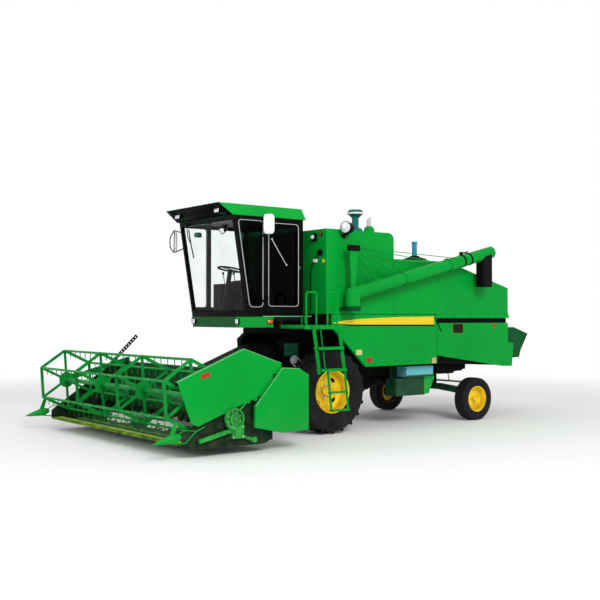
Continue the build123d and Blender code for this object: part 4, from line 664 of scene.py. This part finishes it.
def cab_windows():
    """Panes in their openings, each a thin slab, and the rubber round them."""
    half, middle, tall = 0.723, 2.5025, 0.6505
    screen = [(cab_front(middle + v * tall) - 0.02, u * half, middle + v * tall)
              for u, v in DIAGONAL]
    front = piece("windscreen", slab(screen, (PANE, 0, 0)), "clear_glass")
    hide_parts("cab_glass")
    quarter = [(1.047, 1.912), (1.047, 3.148), (cab_front(3.15) - 0.062, 3.148),
               (cab_front(1.91) - 0.062, 1.912)]
    piece("quarter_pane_left", on_side(quarter, LEFT_PANE, PANE), SHADE_DARKENED_GLASS, "clear_glass")
    piece("quarter_pane_right", on_side(quarter, RIGHT_PANE, PANE), "clear_glass")
    rear_side = rectangle(0.352, 0.973, 1.912, 3.148)
    piece("side_pane_right", on_side(rear_side, RIGHT_PANE, PANE), "clear_glass")
    back = [(0.3, -0.688, 2.392), (0.3, 0.688, 2.392), (0.3, 0.688, 3.123), (0.3, -0.688, 3.123)]
    piece("rear_pane", slab(back, (PANE, 0, 0)), SHADE_DARKENED_GLASS, "clear_glass")
    glass = piece("door_pane", on_side(door_outline(-0.002), LEFT_PANE, PANE), DOOR_SHADE_GLASS,
                  "clear_glass", body="door")
    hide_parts("door_glass")

    def loop(points, y):
        path = rounded_path([(x, y, z) for x, z in points], 0.06)
        return swept(path, oblong(0.008, 0.016), (0, 1, 0), True)

    grown = [(1.036, 1.90), (1.036, 3.160), (cab_front(3.16) - 0.050, 3.160),
             (cab_front(1.90) - 0.050, 1.90)]
    piece("quarter_seal_left", loop(grown, CAB_SEAL), SEAL, "mirror_shell")
    piece("quarter_seal_right", loop(grown, -CAB_SEAL), "rubber_black")
    piece("side_seal_right", loop(rectangle(0.341, 0.984, 1.90, 3.16), -CAB_SEAL), "rubber_black")
    piece("door_seal", loop(door_outline(0.008), CAB_SEAL), SEAL, "mirror_shell", body="door")
    rim = [(cab_front(2.502 + v * 0.66) + 0.003, u * 0.732, 2.502 + v * 0.66) for u, v in DIAGONAL]
    band = swept(rounded_path(rim, 0.05), oblong(0.016, 0.008), (1, 0, 0), True)
    piece("windscreen_seal", band, "rubber_black")


def cab_fittings():
    """Visor, front lamps, wiper, door strut and lock.

    The visor is a 4 x 6 grid of points on the roof's leaning front, two cells left out for lamps.
    """
    lean = np.array([ROOF_HIGH[0] - ROOF_LOW[0], 0, ROOF_HIGH[1] - ROOF_LOW[1]])
    outward = np.array([lean[Z], 0, -lean[X]]) / np.linalg.norm(lean)
    share = np.array([0.02, 0.2, 0.62, 0.98])
    spread = np.array([-1.0, -0.635, -0.485, 0.485, 0.635, 1.0])
    half = 0.785 - 0.043 * share
    start = np.array([ROOF_LOW[0], 0, ROOF_LOW[1]])
    grid = np.repeat(start + share[:, None, None] * lean + outward * 0.003, len(spread), 1)
    grid[:, :, Y] = np.where(abs(spread)[None] == 1.0, spread[None] * half[:, None], spread[None])
    lamp_cells = (6, 8)
    keep = np.delete(grid_faces(len(share), len(spread)), lamp_cells, 0)
    piece("visor", (grid.reshape(-1, 3), keep), BLACK_SHADE, "frame_black", solid=0.006)
    lenses = [bowl((1.701, y, 3.292), (0, 0.062, 0), (0, 0, 0.026), (0.006, 0, 0))
              for y in (0.56, -0.56)]
    lenses += [bowl((1.476, y, 1.685), (0, 0.036, 0), (0, 0, 0.034), (0.008, 0, 0))
               for y in (0.75, -0.45)]
    piece("lamp_lenses", joined(lenses), "lamp_lens")
    shell = turned([(0, 0), (0, 0.04), (0.05, 0.05), (0.055, 0.045), (0.055, 0)],
                   (1.53, 0.50, 3.02), (0.9, 0.3, -0.3), 20)
    piece("brow_lamp", joined([shell, block((1.50, 0.46, 3.05), (1.54, 0.54, 3.10))]),
          "frame_black")
    piece("brow_lens", bowl((1.579, 0.517, 3.003), (-0.011, 0.036, 0), (0.01, 0, 0.036),
                            (0.008, 0.003, -0.003)), "lamp_lens")
    blade = swept([(cab_front(z) + off, y, z) for off, y, z in (
        (0.02, -0.50, 3.10), (0.02, -0.49, 2.90), (0.015, -0.47, 2.66))],
        oblong(0.012, 0.018), (1, 0, 0))
    arm = tube([(cab_front(z) + off, y, z) for off, y, z in (
        (0.02, -0.54, 3.17), (0.035, -0.53, 3.0), (0.03, -0.49, 2.90))], 0.007, 8, (1, 0, 0))
    motor = plug(0.03, 0.03, (cab_front(3.17), -0.54, 3.17), (1, 0, 0), 16)
    piece("wiper", joined([blade, arm, motor]), "rubber_black")
    strut = tube([(0.872, 0.778, 2.905), (0.74, 0.778, 2.715), (0.605, 0.778, 2.53)], 0.008, 10,
                 (0, 1, 0))
    ends = [plug(0.013, 0.02, (x, 0.768, z), (0, 1, 0), 14)
            for x, z in ((0.872, 2.905), (0.605, 2.53))]
    piece("door_strut", joined([strut, *ends]), "pipe_grey", body="door")
    piece("door_lock", plug(0.028, 0.008, (0.362, 0.781, 2.5), (0, 1, 0), 20, top=0.024),
          "bright_rod", body="door")


def turned_to_seat(points, centre, degrees):
    """Points turned about the upright line through a centre."""
    c, s = cos(radians(degrees)), sin(radians(degrees))
    x, y, z = (np.asarray(points, float) - centre).T
    return np.stack([x * c - y * s, x * s + y * c, z], -1) + centre


def mirror_head(centre, width, height, degrees):
    """Shell: a fifth-power rounded rectangle, domed toward the front, turned toward the seat."""
    turn = np.arange(40) * 2 * pi / 40
    square = (abs(np.cos(turn)) ** 5 + abs(np.sin(turn)) ** 5) ** -0.2
    across, up = np.cos(turn) * square * width / 2, np.sin(turn) * square * height / 2
    depth, size = np.array([(-0.006, 0.0), (-0.006, 0.94), (-0.004, 0.985), (0.008, 1.0),
                            (0.022, 0.9), (0.03, 0.6), (0.032, 0.0)]).T[..., None]
    points = np.stack(np.broadcast_arrays(depth, across * size, up * size), -1) + centre
    return (turned_to_seat(points.reshape(-1, 3), centre, degrees),
            grid_faces(len(depth), 40, False, True))


def mirrors():
    """Heads, their glass faces and the bent tubes that carry them."""
    near, far = np.array([1.10, 1.028, 3.095]), np.array([1.445, -1.045, 2.955])
    heads = ((near, 0.165, 0.29, 36), (far, 0.12, 0.30, -12))
    shells = piece("mirror_heads", joined([mirror_head(*head) for head in heads]), "mirror_shell")
    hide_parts("mirrors")
    faces = []
    for centre, width, height, degrees in heads:
        corners = [centre + (-0.0065, u * width * 0.42, v * height * 0.45) for u, v in DIAGONAL]
        points, walls = slab(corners, (-0.001, 0, 0))
        faces.append((turned_to_seat(points, centre, degrees), walls))
    piece("mirror_faces", joined(faces), MIRROR, "mirror_shell")
    wall = BRACKET_WALL
    near_arm = [(1.04, wall, 3.12), (1.075, 0.88, 3.17), (1.12, 0.99, 3.15), (1.115, 1.03, 3.10)]
    far_arm = [(1.47, -wall, 3.08), (1.48, -0.92, 3.10), (1.48, -1.03, 3.135),
               (1.48, -1.17, 3.03), (1.48, -1.175, 2.88), (1.48, -1.05, 2.775),
               (1.47, -0.92, 2.80), (1.43, -wall, 2.84)]
    arms = [tube(rounded_path(near_arm, 0.03, 5, False), 0.009, 10),
            tube([(1.04, wall, 3.04), (1.112, 1.0, 3.06)], 0.009, 10),
            block((1.02, 0.78, 3.02), (1.06, 0.79, 3.14)),
            block((1.45, -0.79, 3.06), (1.49, -0.78, 3.10)),
            block((1.41, -0.79, 2.82), (1.45, -0.78, 2.86)),
            tube(rounded_path(far_arm, 0.04, 5, False), 0.009, 10),
            tube([(1.48, -1.03, 3.13), (1.48, -1.045, 2.78)], 0.007)]
    piece("mirror_arms", joined(arms), "frame_black")


def driver_seat():
    """Padded seat, back and head rest in the room of the plain one, its stand and the console."""

    def cushion(low, high, crown_axis):
        """Superellipsoid between two corners: cosine and sine to the power 0.35, sign kept,
        crowned along one axis."""
        u, v = np.meshgrid(np.linspace(-pi / 2, pi / 2, 25), np.linspace(-pi, pi, 49)[:-1],
                           indexing="ij")
        bend = lambda wave: np.sign(wave) * abs(wave) ** 0.35
        points = np.stack([bend(np.cos(u)) * bend(np.cos(v)), bend(np.cos(u)) * bend(np.sin(v)),
                           bend(np.sin(u))], -1)
        first, second = (axis for axis in (X, Y, Z) if axis != crown_axis)
        crown = (points[..., first] ** 2 + points[..., second] ** 2) / 2
        points[..., crown_axis] *= 1 - 0.18 * crown
        low, high = np.asarray(low), np.asarray(high)
        points = (low + high) / 2 + points * (high - low) / 2
        return points.reshape(-1, 3), grid_faces(25, 48, False, True)

    parts = [cushion((0.53, -0.235, 2.20), (1.0, 0.235, 2.32), Z),
             cushion((0.445, -0.225, 2.33), (0.545, 0.225, 2.68), X),
             cushion((0.448, -0.20, 2.67), (0.54, 0.20, 2.90), X)]
    seat = piece("seat_cushions", joined(parts), "seat_fabric", crease=60)
    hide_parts("driver_seat")
    foot = CAB_FLOOR + 0.03
    folds = turned([(0.03 * step, 0.12 if step % 2 else 0.15) for step in range(9)],
                   (0.75, 0, 1.9), (0, 0, 1), 28)
    stand = [block((0.6, -0.17, foot), (0.9, 0.17, 1.9)),
             block((0.62, -0.14, 2.14), (0.9, 0.14, 2.2)), folds,
             block((0.45, -0.19, 2.24), (0.475, 0.19, 2.7))]
    piece("seat_stand", joined(stand), "rubber_black", bevel=0.004)
    places = (0.72, 0.82, 0.92)
    levers = [tube([(x, -0.42, 2.27), (x + 0.03, -0.42, 2.43)], 0.007, 8, (0, 1, 0))
              for x in places]
    knobs = [turned([(0, 0), (0.004, 0.018), (0.03, 0.02), (0.045, 0.0)], (x + 0.028, -0.42, 2.42),
                    (0.18, 0, 1), 14) for x in places]
    console = block((0.45, -0.55, foot), (1.05, -0.31, 2.27))
    piece("control_console", joined([console, *levers, *knobs]), "rubber_black", bevel=0.004)


def side_markings():
    """Stripe, seam band, latches, blank labels and screws on both side walls."""
    stripe = [(0.028, 1.663), (-0.227, 1.70), (-0.529, 1.722), (-0.943, 1.74), (-1.372, 1.753),
              (-1.817, 1.757), (-2.138, 1.761), (-2.138, 1.629), (-1.372, 1.633),
              (-0.943, 1.635), (-0.327, 1.639)]
    line = [(-0.10, 1.645), (-0.327, 1.638), (-0.943, 1.634), (-2.138, 1.628), (-2.138, 1.606),
            (-0.943, 1.612), (-0.327, 1.618)]
    band = rectangle(-2.213, -3.975, 1.654, 1.731)
    catch = [(-2.141, 1.756), (-2.159, 1.748), (-2.310, 1.517), (-2.292, 1.525)]
    hood_xs = np.linspace(-3.86, -2.34, 5)
    screw_xs = np.concatenate([np.linspace(-2.12, -0.70, 6), hood_xs, np.linspace(-3.9, 0.05, 10)])
    screw_zs = np.concatenate([np.full(6, 1.045), 0.955 + 0.17 * (hood_xs + 3.98) / 1.77,
                               np.full(10, 1.79)])
    for side, sign in (("left", 1), ("right", -1)):
        piece(f"stripe_{side}", on_side(stripe, sign * SIDE, sign * FILM), STRIPE, "wheel_paint")
        piece(f"stripe_line_{side}", on_side(line, sign * (SIDE + 0.0002), sign * 0.0016),
              BLACK_SHADE, "frame_black")
        piece(f"seam_band_{side}", on_side(band, sign * HOOD_SIDE, sign * 0.012), BLACK_SHADE,
              "frame_black")
        piece(f"panel_catch_{side}", on_side(catch, sign * SIDE, sign * 0.018), "frame_black",
              bevel=0.004)
        spots = np.stack([screw_xs, np.full(len(screw_xs), sign * SIDE), screw_zs], -1)
        piece(f"panel_screws_{side}", hex_heads((0, sign, 0), 0.010, 0.006, spots), "dark_paint")

    def rounded_plate(x_half, z_half, y, radius):
        corners = rectangle(-2.71 + x_half, -2.71 - x_half, 1.561 - z_half, 1.561 + z_half)
        return rounded_path([(x, y, z) for x, z in corners], radius)

    plate = slab(rounded_plate(0.12, 0.073, SIDE, 0.02), (0, 0.002, 0))
    piece("side_plate", plate, DARK_PLATE, "frame_black")
    marks = [on_side(rectangle(x - w, x + w, z - h, z + h), SIDE, FILM)
             for x, z, w, h in ((-0.72, 1.09, 0.055, 0.036), (-3.614, 1.60, 0.04, 0.032))]
    piece("red_labels", joined(marks), RED_LABEL, "wheel_paint")
    shield_mark = [(2.73, 1.010), (2.86, 0.985), (2.873, 1.045), (2.743, 1.070)]
    piece("shield_label", on_side(shield_mark, SHIELD_FRONT, FILM), RED_LABEL, "wheel_paint",
          body="header")
    border = swept(rounded_plate(0.123, 0.076, SIDE + 0.001, 0.022), oblong(0.003, 0.009),
                   (0, 1, 0), True)
    piece("plate_border", border, RED_LABEL, "wheel_paint")
    piece("pale_label", on_side(rectangle(-0.45, -0.57, 1.17, 1.25), SIDE, FILM), PALE_LABEL,
          "wheel_paint")
    piece("reflector", on_side(rectangle(-2.085, -2.18, 0.995, 1.085), SIDE, 0.006), TAN_LENS,
          "lamp_lens", bevel=0.002)


def wheel_details():
    """Bolt circles, the slots in the drive discs as dark plates of painted shade with their pressed
    lips, and tyre valves.
    """
    for side, sign in (("left", 1), ("right", -1)):
        for kind, (x, z), face, circle, count, size in (
                ("drive", DRIVE_AXLE_AT, HUB_FACE_DRIVE, 0.094, 8, 0.016),
                ("steer", STEER_AXLE_AT, HUB_FACE_STEER, 0.056, 5, 0.010)):
            turn = np.arange(count) * 2 * pi / count
            spots = np.stack([x + circle * np.cos(turn), np.full(count, sign * face),
                              z + circle * np.sin(turn)], -1)
            piece(f"{kind}_bolts_{side}", hex_heads((0, sign, 0), size, size * 1.3, spots),
                  "bright_rod", body=f"{kind}_wheel_{side}")

        def on_cone(middle, spread):
            """Oval round a middle angle: the radius waves with sin, the angle with cos, and the
            point stands on the disc's cone."""
            wave = np.linspace(0, 2 * pi, 25)[:-1]
            reach = DISC_SLOT_REACH + DISC_SLOT_HALF * spread * np.sin(wave)
            angle = middle + DISC_SLOT_TURN * spread * np.cos(wave)
            out = DISC_FOOT + DISC_SLOPE * (reach - DISC_INNER) + 0.0012
            return np.stack([DRIVE_AXLE_AT[0] + reach * np.cos(angle), sign * out,
                             DRIVE_AXLE_AT[1] + reach * np.sin(angle)], -1)

        body, middles = f"drive_wheel_{side}", np.arange(4) * pi / 2 + 0.75
        # Dark plates in the slots: painted shade of the hollow behind the disc.
        hole_shade_plates = [slab(on_cone(middle, 0.9), (0, sign * 0.001, 0)) for middle in middles]
        piece(f"disc_slot_shade_{side}", joined(hole_shade_plates), BLACK_SHADE, "frame_black", body=body)
        lips = [swept(on_cone(middle, 1.0), oblong(0.006, 0.006), (0, 1, 0), True)
                for middle in middles]
        piece(f"slot_lips_{side}", joined(lips), "wheel_paint", body=body)
        valve = turned([(0, 0), (0, 0.006), (0.05, 0.006), (0.055, 0.004), (0.055, 0)],
                       (0.0, sign * 0.975, DRIVE_AXLE_AT[1] + 0.268), (0, sign, -0.4), 10)
        piece(f"valve_{side}", valve, "rubber_black", body=body)


def top_fittings():
    """Band of the air intake, lens of the lamp on the tank's edge, saddle of the unloader."""
    ring = turned([(0.0, 0.136), (0.0, 0.1385), (0.028, 0.1385), (0.028, 0.132)],
                  (-1.43, 0, 3.492), (0, 0, 1), 40)
    piece("intake_band", ring, "mirror_shell", solid=0.002)
    direction = np.array([0.94, 0.34, 0.0])
    glass = turned([(0, 0.0), (0, 0.083), (0.004, 0.083), (0.012, 0.066), (0.018, 0.036),
                    (0.02, 0.0)], np.array([-0.2, 1.26, 3.1]) + direction * 0.088, direction, 36)
    piece("tank_lamp_lens", glass, "lamp_lens")
    saddle = block((-0.36, 1.300, 2.745), (-0.14, 1.360, 2.835))
    piece("post_saddle", saddle, "rubber_black", body="unloader", bevel=0.012)


def knife_gear():
    """Ribbed belt wheel on the knife drive, its bolts and foot plate, and the knife sections."""
    x, z = KNIFE_AT
    face = KNIFE_OUT - 0.07
    groove = [(0.0, 0.112), (0.0, 0.137), (0.010, 0.141), (0.022, 0.130), (0.034, 0.141),
              (0.044, 0.137), (0.044, 0.112)]
    ribs = []
    for turn in np.arange(12) * pi / 6 + 0.1:
        along, across = np.array([cos(turn), 0, sin(turn)]), np.array([-sin(turn), 0, cos(turn)])
        corners = [along * far + across * off + (x, face + 0.044, z) for far, off in (
            (0.104, -0.007), (0.14, -0.004), (0.14, 0.004), (0.104, 0.007))]
        ribs.append(slab(corners, (0, 0.008, 0)))
    wheel = hoop(groove, (x, face, z), (0, 1, 0), 40)
    piece("knife_pulley", joined([wheel, *ribs]), DRIVE_PAINT, "body_paint", body="header")
    turn = np.radians(22.5 + 45 * np.arange(8))
    spots = np.stack([x + 0.093 * np.cos(turn), np.full(8, KNIFE_OUT - 0.047),
                      z + 0.093 * np.sin(turn)], -1)
    foot = [(x + dx, KNIFE_OUT - 0.051, z + dz) for dx in (-0.13, 0.01) for dz in (-0.23, -0.105)]
    cap = plug(0.03, 0.004, (x, KNIFE_OUT - 0.006, z), (0, 1, 0), 24, top=0.028)
    bolts = [hex_heads((0, 1, 0), 0.008, 0.007, spots), hex_heads((0, 1, 0), 0.011, 0.010, foot)]
    piece("knife_drive_bolts", joined([*bolts, cap]), CHAIN_STEEL, "bright_rod", body="header")
    plate = [(x + dx, z + dz) for dx, dz in ((-0.115, -0.215), (-0.005, -0.215), (-0.005, -0.12),
                                             (-0.06, -0.10), (-0.115, -0.12))]
    piece("knife_foot_plate", on_side(plate, face + 0.02, 0.008), DRIVE_PAINT, "body_paint",
          body="header", bevel=0.002)
    top = KNIFE_BAR_TOP
    tooth = slab([(2.985, -0.036, top), (3.055, -0.004, top), (3.055, 0.004, top),
                  (2.985, 0.036, top)], (0, 0, 0.003))
    teeth = repeated(tooth, [(0, 0.078 - HEADER_END + KNIFE_PITCH * step, 0) for step in range(51)])
    back = block((2.968, 0.03 - HEADER_END, top), (2.986, HEADER_END - 0.03, top + 0.007))
    piece("knife_sections", joined([teeth, back]), SECTION_STEEL, "bright_rod", body="header")


def header_fittings():
    """Painted highlights along the rolled edges of the end shields, and the ring and lever of the
    shield latch.
    """
    y, back = SHIELD_FRONT, SHIELD_REAR
    edges = [swept(path, oblong(0.006, 0.006), (0, 1, 0)) for path in (
        [(3.198, y, 0.962), (2.226, y, 1.346), (1.638, y, 1.146)],
        [(2.078, back, 0.61), (1.651, back, 1.086), (1.372, back, 1.069)])]
    piece("shield_edges", joined(edges), EDGE_HIGHLIGHT, "body_paint", body="header")
    ring = hoop([(0.0, 0.018), (0.0, 0.03), (0.008, 0.03), (0.008, 0.018)], (1.75, 2.07, 0.985),
                (0, 1, 0), 24)
    lever = swept([(1.75, 2.079, 0.985), (1.757, 2.081, 0.93)], oblong(0.010, 0.006), (0, 1, 0))
    piece("shield_latch", joined([ring, lever]), "frame_black", body="header")


def thresher_side():
    """Perforated guard, chain and sprockets on the left wall of the thresher housing.

    The chain's path is two half circles, each about a sprocket, with its links evenly along it.
    """
    wall = THRESHER_SIDE
    guard = on_side(rectangle(0.262, 0.534, 1.165, 1.36), wall, 0.012)
    piece("guard_plate", guard, SHADE_PAINT, "dark_paint", bevel=0.003)
    xs, zs = np.meshgrid(np.linspace(0.285, 0.511, 8), np.linspace(1.185, 1.34, 6), indexing="ij")
    xs = xs + np.where(np.arange(6) % 2, 0.016, 0.0)[None]
    spots = np.stack([xs.ravel(), np.full(xs.size, wall + 0.012), zs.ravel()], -1)
    studs = repeated(plug(0.010, 0.006, (0, 0, 0), (0, 1, 0), 8, top=0.007), spots)
    piece("guard_studs", studs, TEAL_LAMP, "dark_paint")
    first, second, radius, links = np.array([0.37, 1.10]), np.array([0.235, 0.97]), 0.062, 36
    along = (second - first) / np.linalg.norm(second - first)
    out = np.array([along[1], -along[0]])
    arc = np.linspace(0, pi, 9)[:, None]
    half_turn = radius * (np.cos(arc) * out + np.sin(arc) * along)
    corners = np.concatenate([first - half_turn[-1:], second + half_turn, first - half_turn])
    lengths = np.linalg.norm(np.diff(corners, axis=0), axis=1)
    steps = np.concatenate([[0], np.cumsum(lengths)])
    spaced = np.linspace(0, steps[-1], links + 1)[:-1]
    loop = np.stack([np.interp(spaced, steps, corners[:, 0]), np.full(links, wall + 0.038),
                     np.interp(spaced, steps, corners[:, 1])], -1)
    piece("chain_links", hex_heads((0, 1, 0), 0.012, 0.024, loop), CHAIN_STEEL, "bright_rod")
    wheel = [(0, 0), (0, 0.05), (0.014, 0.05), (0.014, 0.02), (0.03, 0.02), (0.03, 0)]
    wheels = [turned(wheel, (x, wall + 0.04, z), (0, 1, 0), 24) for x, z in (first, second)]
    shafts = [plug(0.016, 0.042, (x, wall, z), (0, 1, 0), 16) for x, z in (first, second)]
    piece("sprockets", joined([*wheels, *shafts]), CHAIN_STEEL, "bright_rod")


def tank_front_items():
    """Fittings on the tank's front wall, and the filling tube inside with its domed head."""
    wall, front = TANK_FRONT, (1, 0, 0)
    knob = turned([(0, 0), (0, 0.045), (0.03, 0.05), (0.04, 0.04), (0.04, 0)],
                  (wall, 1.027, 2.723), front, 24)
    dark = [block((wall, 0.845, 2.90), (wall + 0.05, 0.935, 3.02)), knob,
            plug(0.03, 0.02, (wall, 1.035, 3.001), front, 20)]
    piece("tank_fittings", joined(dark), "rubber_black", bevel=0.003)
    lens = turned([(0, 0), (0, 0.022), (0.008, 0.016), (0.01, 0)], (wall + 0.02, 1.035, 3.001),
                  front, 20)
    piece("tank_tail_lens", lens, RED_LENS, "lamp_lens")
    gauge = turned([(0, 0), (0, 0.032), (0.018, 0.03), (0.02, 0)], (wall + 0.05, 0.889, 2.963),
                   front, 24)
    pale = [block((wall, 0.87, 2.58), (wall + 0.03, 0.94, 2.63)), gauge]
    piece("gauge_faces", joined(pale), "mirror_shell", bevel=0.002)
    tag = block((wall, 1.06, 2.57), (wall + 0.003, 1.115, 2.62))
    piece("tank_tag", tag, STRIPE, "wheel_paint")
    run = [(wall + 0.02, y, z) for y, z in ((0.80, 1.85), (0.80, 2.45), (0.86, 2.60), (0.98, 2.70))]
    piece("tank_conduit", tube(rounded_path(run, 0.06, 6, False), 0.008, 8, front), "rubber_black")
    fill = turned([(0, 0), (0, 0.075), (1.098, 0.075), (1.108, 0.10), (1.138, 0.10),
                   (1.148, 0.085), (1.208, 0.078), (1.238, 0.05), (1.248, 0)],
                  (-0.94, 0.9, TANK_FLOOR), (0, 0, 1), 36)
    piece("filling_tube", fill, "body_paint")


def deck_fittings():
    """Dark collar of the blue stack, clamp on the unloading tube, hook under the tail."""
    collar = turned([(0, 0), (0, 0.205), (0.022, 0.195), (0.04, 0.13), (0.055, 0.085),
                     (0.075, 0.07), (0.075, 0)], (-2.04, 0.8, 2.696), (0, 0, 1), 36)
    piece("stack_collar", collar, BLACK_SHADE, "frame_black")
    axis = np.array([-cos(UNLOADER_LEAN), 0, sin(UNLOADER_LEAN)])
    centre = np.array(UNLOADER_FOOT) + axis * 2.36 / cos(UNLOADER_LEAN)
    band = [(0.0, 0.1005), (0.0, 0.108), (0.03, 0.108), (0.03, 0.1005)]
    rings = [hoop(band, centre + axis * shift, axis, 40) for shift in (0.0, 0.16)]
    x, _, z = centre
    lug = block((x - 0.03, 1.31, z + 0.108), (x + 0.02, 1.35, z + 0.155))
    above = centre + (0, 0, 0.125)
    strap = swept([above, above + axis * 0.17], oblong(0.02, 0.02), (0, 1, 0))
    piece("tube_clamp", joined([*rings, lug, strap]), BLACK_SHADE, "frame_black", body="unloader")
    bend = [(-2.62, 0.98, 0.90), (-2.64, 0.98, 0.80), (-2.67, 0.98, 0.72), (-2.66, 0.98, 0.69)]
    hook = tube(rounded_path(bend, 0.02, 5, False), 0.008, 8, (0, 1, 0))
    piece("tail_hook", hook, BLACK_SHADE, "frame_black")


def platform_fittings():
    """Side indicator, end marker, painted highlight along the edge under the door, bent rail, cab
    lamp and fan.
    """
    holder = on_side(rectangle(0.862, 0.976, 1.648, 1.72), 0.8, 0.006)
    piece("indicator_base", holder, "rubber_black", bevel=0.002)
    indicator = bowl((0.919, 0.808, 1.684), (-0.047, 0, 0), (0, 0, 0.028), (0, 0.012, 0))
    piece("indicator_lens", indicator, AMBER_LENS, "lamp_lens")
    marker = bowl((1.452, -0.478, 1.70), (0, -0.02, 0), (0, 0, 0.028), (0.006, 0, 0))
    piece("end_marker", marker, RED_LENS, "lamp_lens")
    edge = swept([(x, 0.797, 1.762) for x in (-0.02, 0.5, 1.045)], oblong(0.012, 0.012))
    piece("sill_edge", edge, EDGE_HIGHLIGHT, "body_paint")
    bend = [(0.712, 1.30, 1.64), (0.712, 1.30, 1.768), (0.720, 1.385, 1.768), (0.728, 1.405, 1.648)]
    rail = tube(rounded_path(bend, 0.04, 6, False), 0.010, 10, (1, 0, 0))
    piece("landing_rail", rail, "body_paint")
    lamp = turned([(0, 0), (0, 0.045), (0.03, 0.062), (0.06, 0.062), (0.075, 0.05), (0.08, 0)],
                  (1.30, -0.608, 3.075), (0, 0, -1), 28)
    piece("cab_lamp", lamp, TEAL_LAMP, "teal_paint")
    piece("cab_fan", plug(0.05, 0.02, (1.272, 0.6, 2.94), (1, 0, 0), 28), "mirror_shell")


cab_windows()
cab_fittings()
mirrors()
driver_seat()
side_markings()
wheel_details()
top_fittings()
knife_gear()
header_fittings()
thresher_side()
tank_front_items()
deck_fittings()
platform_fittings()


# Camera and light.

CAMERA_AT = Vector((8.879, 11.909, 1.757))
CAMERA_TURN, CAMERA_PITCH = 0.654, 0.018
FOCAL_PIXELS, IMAGE_PIXELS, SENSOR_MM = 928.758, 600, 36.0
FLOOR_HALF, FLOOR_FADE_FROM, FLOOR_FADE_TO = 60.0, 7.0, 16.0
WORLD_STRENGTH, WORLD_SEEN = 0.62, 1.0


def aimed(name, data, at, direction):
    """Camera or lamp object at a place, looking along a direction."""
    made = bpy.data.objects.new(name, data)
    scene.collection.objects.link(made)
    made.location = at
    made.rotation_euler = direction.to_track_quat("-Z", "Y").to_euler()
    return made


def photo_camera():
    """Camera at the photograph's place and angle."""
    data = bpy.data.cameras.new("camera")
    data.sensor_width, data.lens = SENSOR_MM, FOCAL_PIXELS / IMAGE_PIXELS * SENSOR_MM
    looking = Vector((-sin(CAMERA_TURN) * cos(CAMERA_PITCH),
                      -cos(CAMERA_TURN) * cos(CAMERA_PITCH), sin(CAMERA_PITCH)))
    scene.camera = aimed("camera", data, CAMERA_AT, looking)


def pale_floor():
    """Pale floor that fades to plain white away from the machine."""
    mesh = bpy.data.meshes.new("floor")
    mesh.from_pydata([(u * FLOOR_HALF, v * FLOOR_HALF, 0) for u, v in DIAGONAL], [],
                     [(0, 1, 2, 3)])
    floor = bpy.data.objects.new("floor", mesh)
    scene.collection.objects.link(floor)
    material, tree, _ = new_material("floor", Base_Color=linear((246, 246, 246)), Roughness=0.9)
    away = place(tree, "ShaderNodeVectorMath", [(0, own_place(tree))],
                 operation="LENGTH").outputs["Value"]
    white = place(tree, "ShaderNodeEmission", Strength=1.0)
    faded = place(tree, "ShaderNodeMixShader", [
        (0, ramp(tree, away, FLOOR_FADE_FROM, FLOOR_FADE_TO)),
        (1, tree.nodes["Principled BSDF"].outputs[0]), (2, white.outputs[0])])
    tree.links.new(faded.outputs[0], tree.nodes["Material Output"].inputs["Surface"])
    mesh.materials.append(material)


def studio_light():
    """Even white surroundings, a broad lamp on the ladder side and a weaker one in front."""
    world = bpy.data.worlds.new("studio")
    world.use_nodes = True
    scene.world = world
    tree = world.node_tree
    path = place(tree, "ShaderNodeLightPath").outputs
    seen = maths(tree, "MAXIMUM", path["Is Camera Ray"], path["Is Transmission Ray"])
    seen = maths(tree, "MAXIMUM", seen, path["Is Glossy Ray"])
    add, _, times = sums(tree)
    strength = add(times(seen, WORLD_SEEN - WORLD_STRENGTH), WORLD_STRENGTH)
    background = tree.nodes["Background"]
    tree.links.new(strength, background.inputs["Strength"])
    background.inputs["Color"].default_value = (1, 1, 1, 1)
    for name, at, aim, size, power in (
            ("key", (6.0, 22.0, 15.0), (-0.5, 0.5, 1.2), 11.0, 4000.0),
            ("front", (16.0, -3.0, 7.0), (0.5, 0.0, 1.5), 6.0, 500.0)):
        data = bpy.data.lights.new(name, "AREA")
        data.shape, data.size, data.energy = "DISK", size, power
        aimed(name, data, at, Vector(aim) - Vector(at))


photo_camera()
pale_floor()
studio_light()
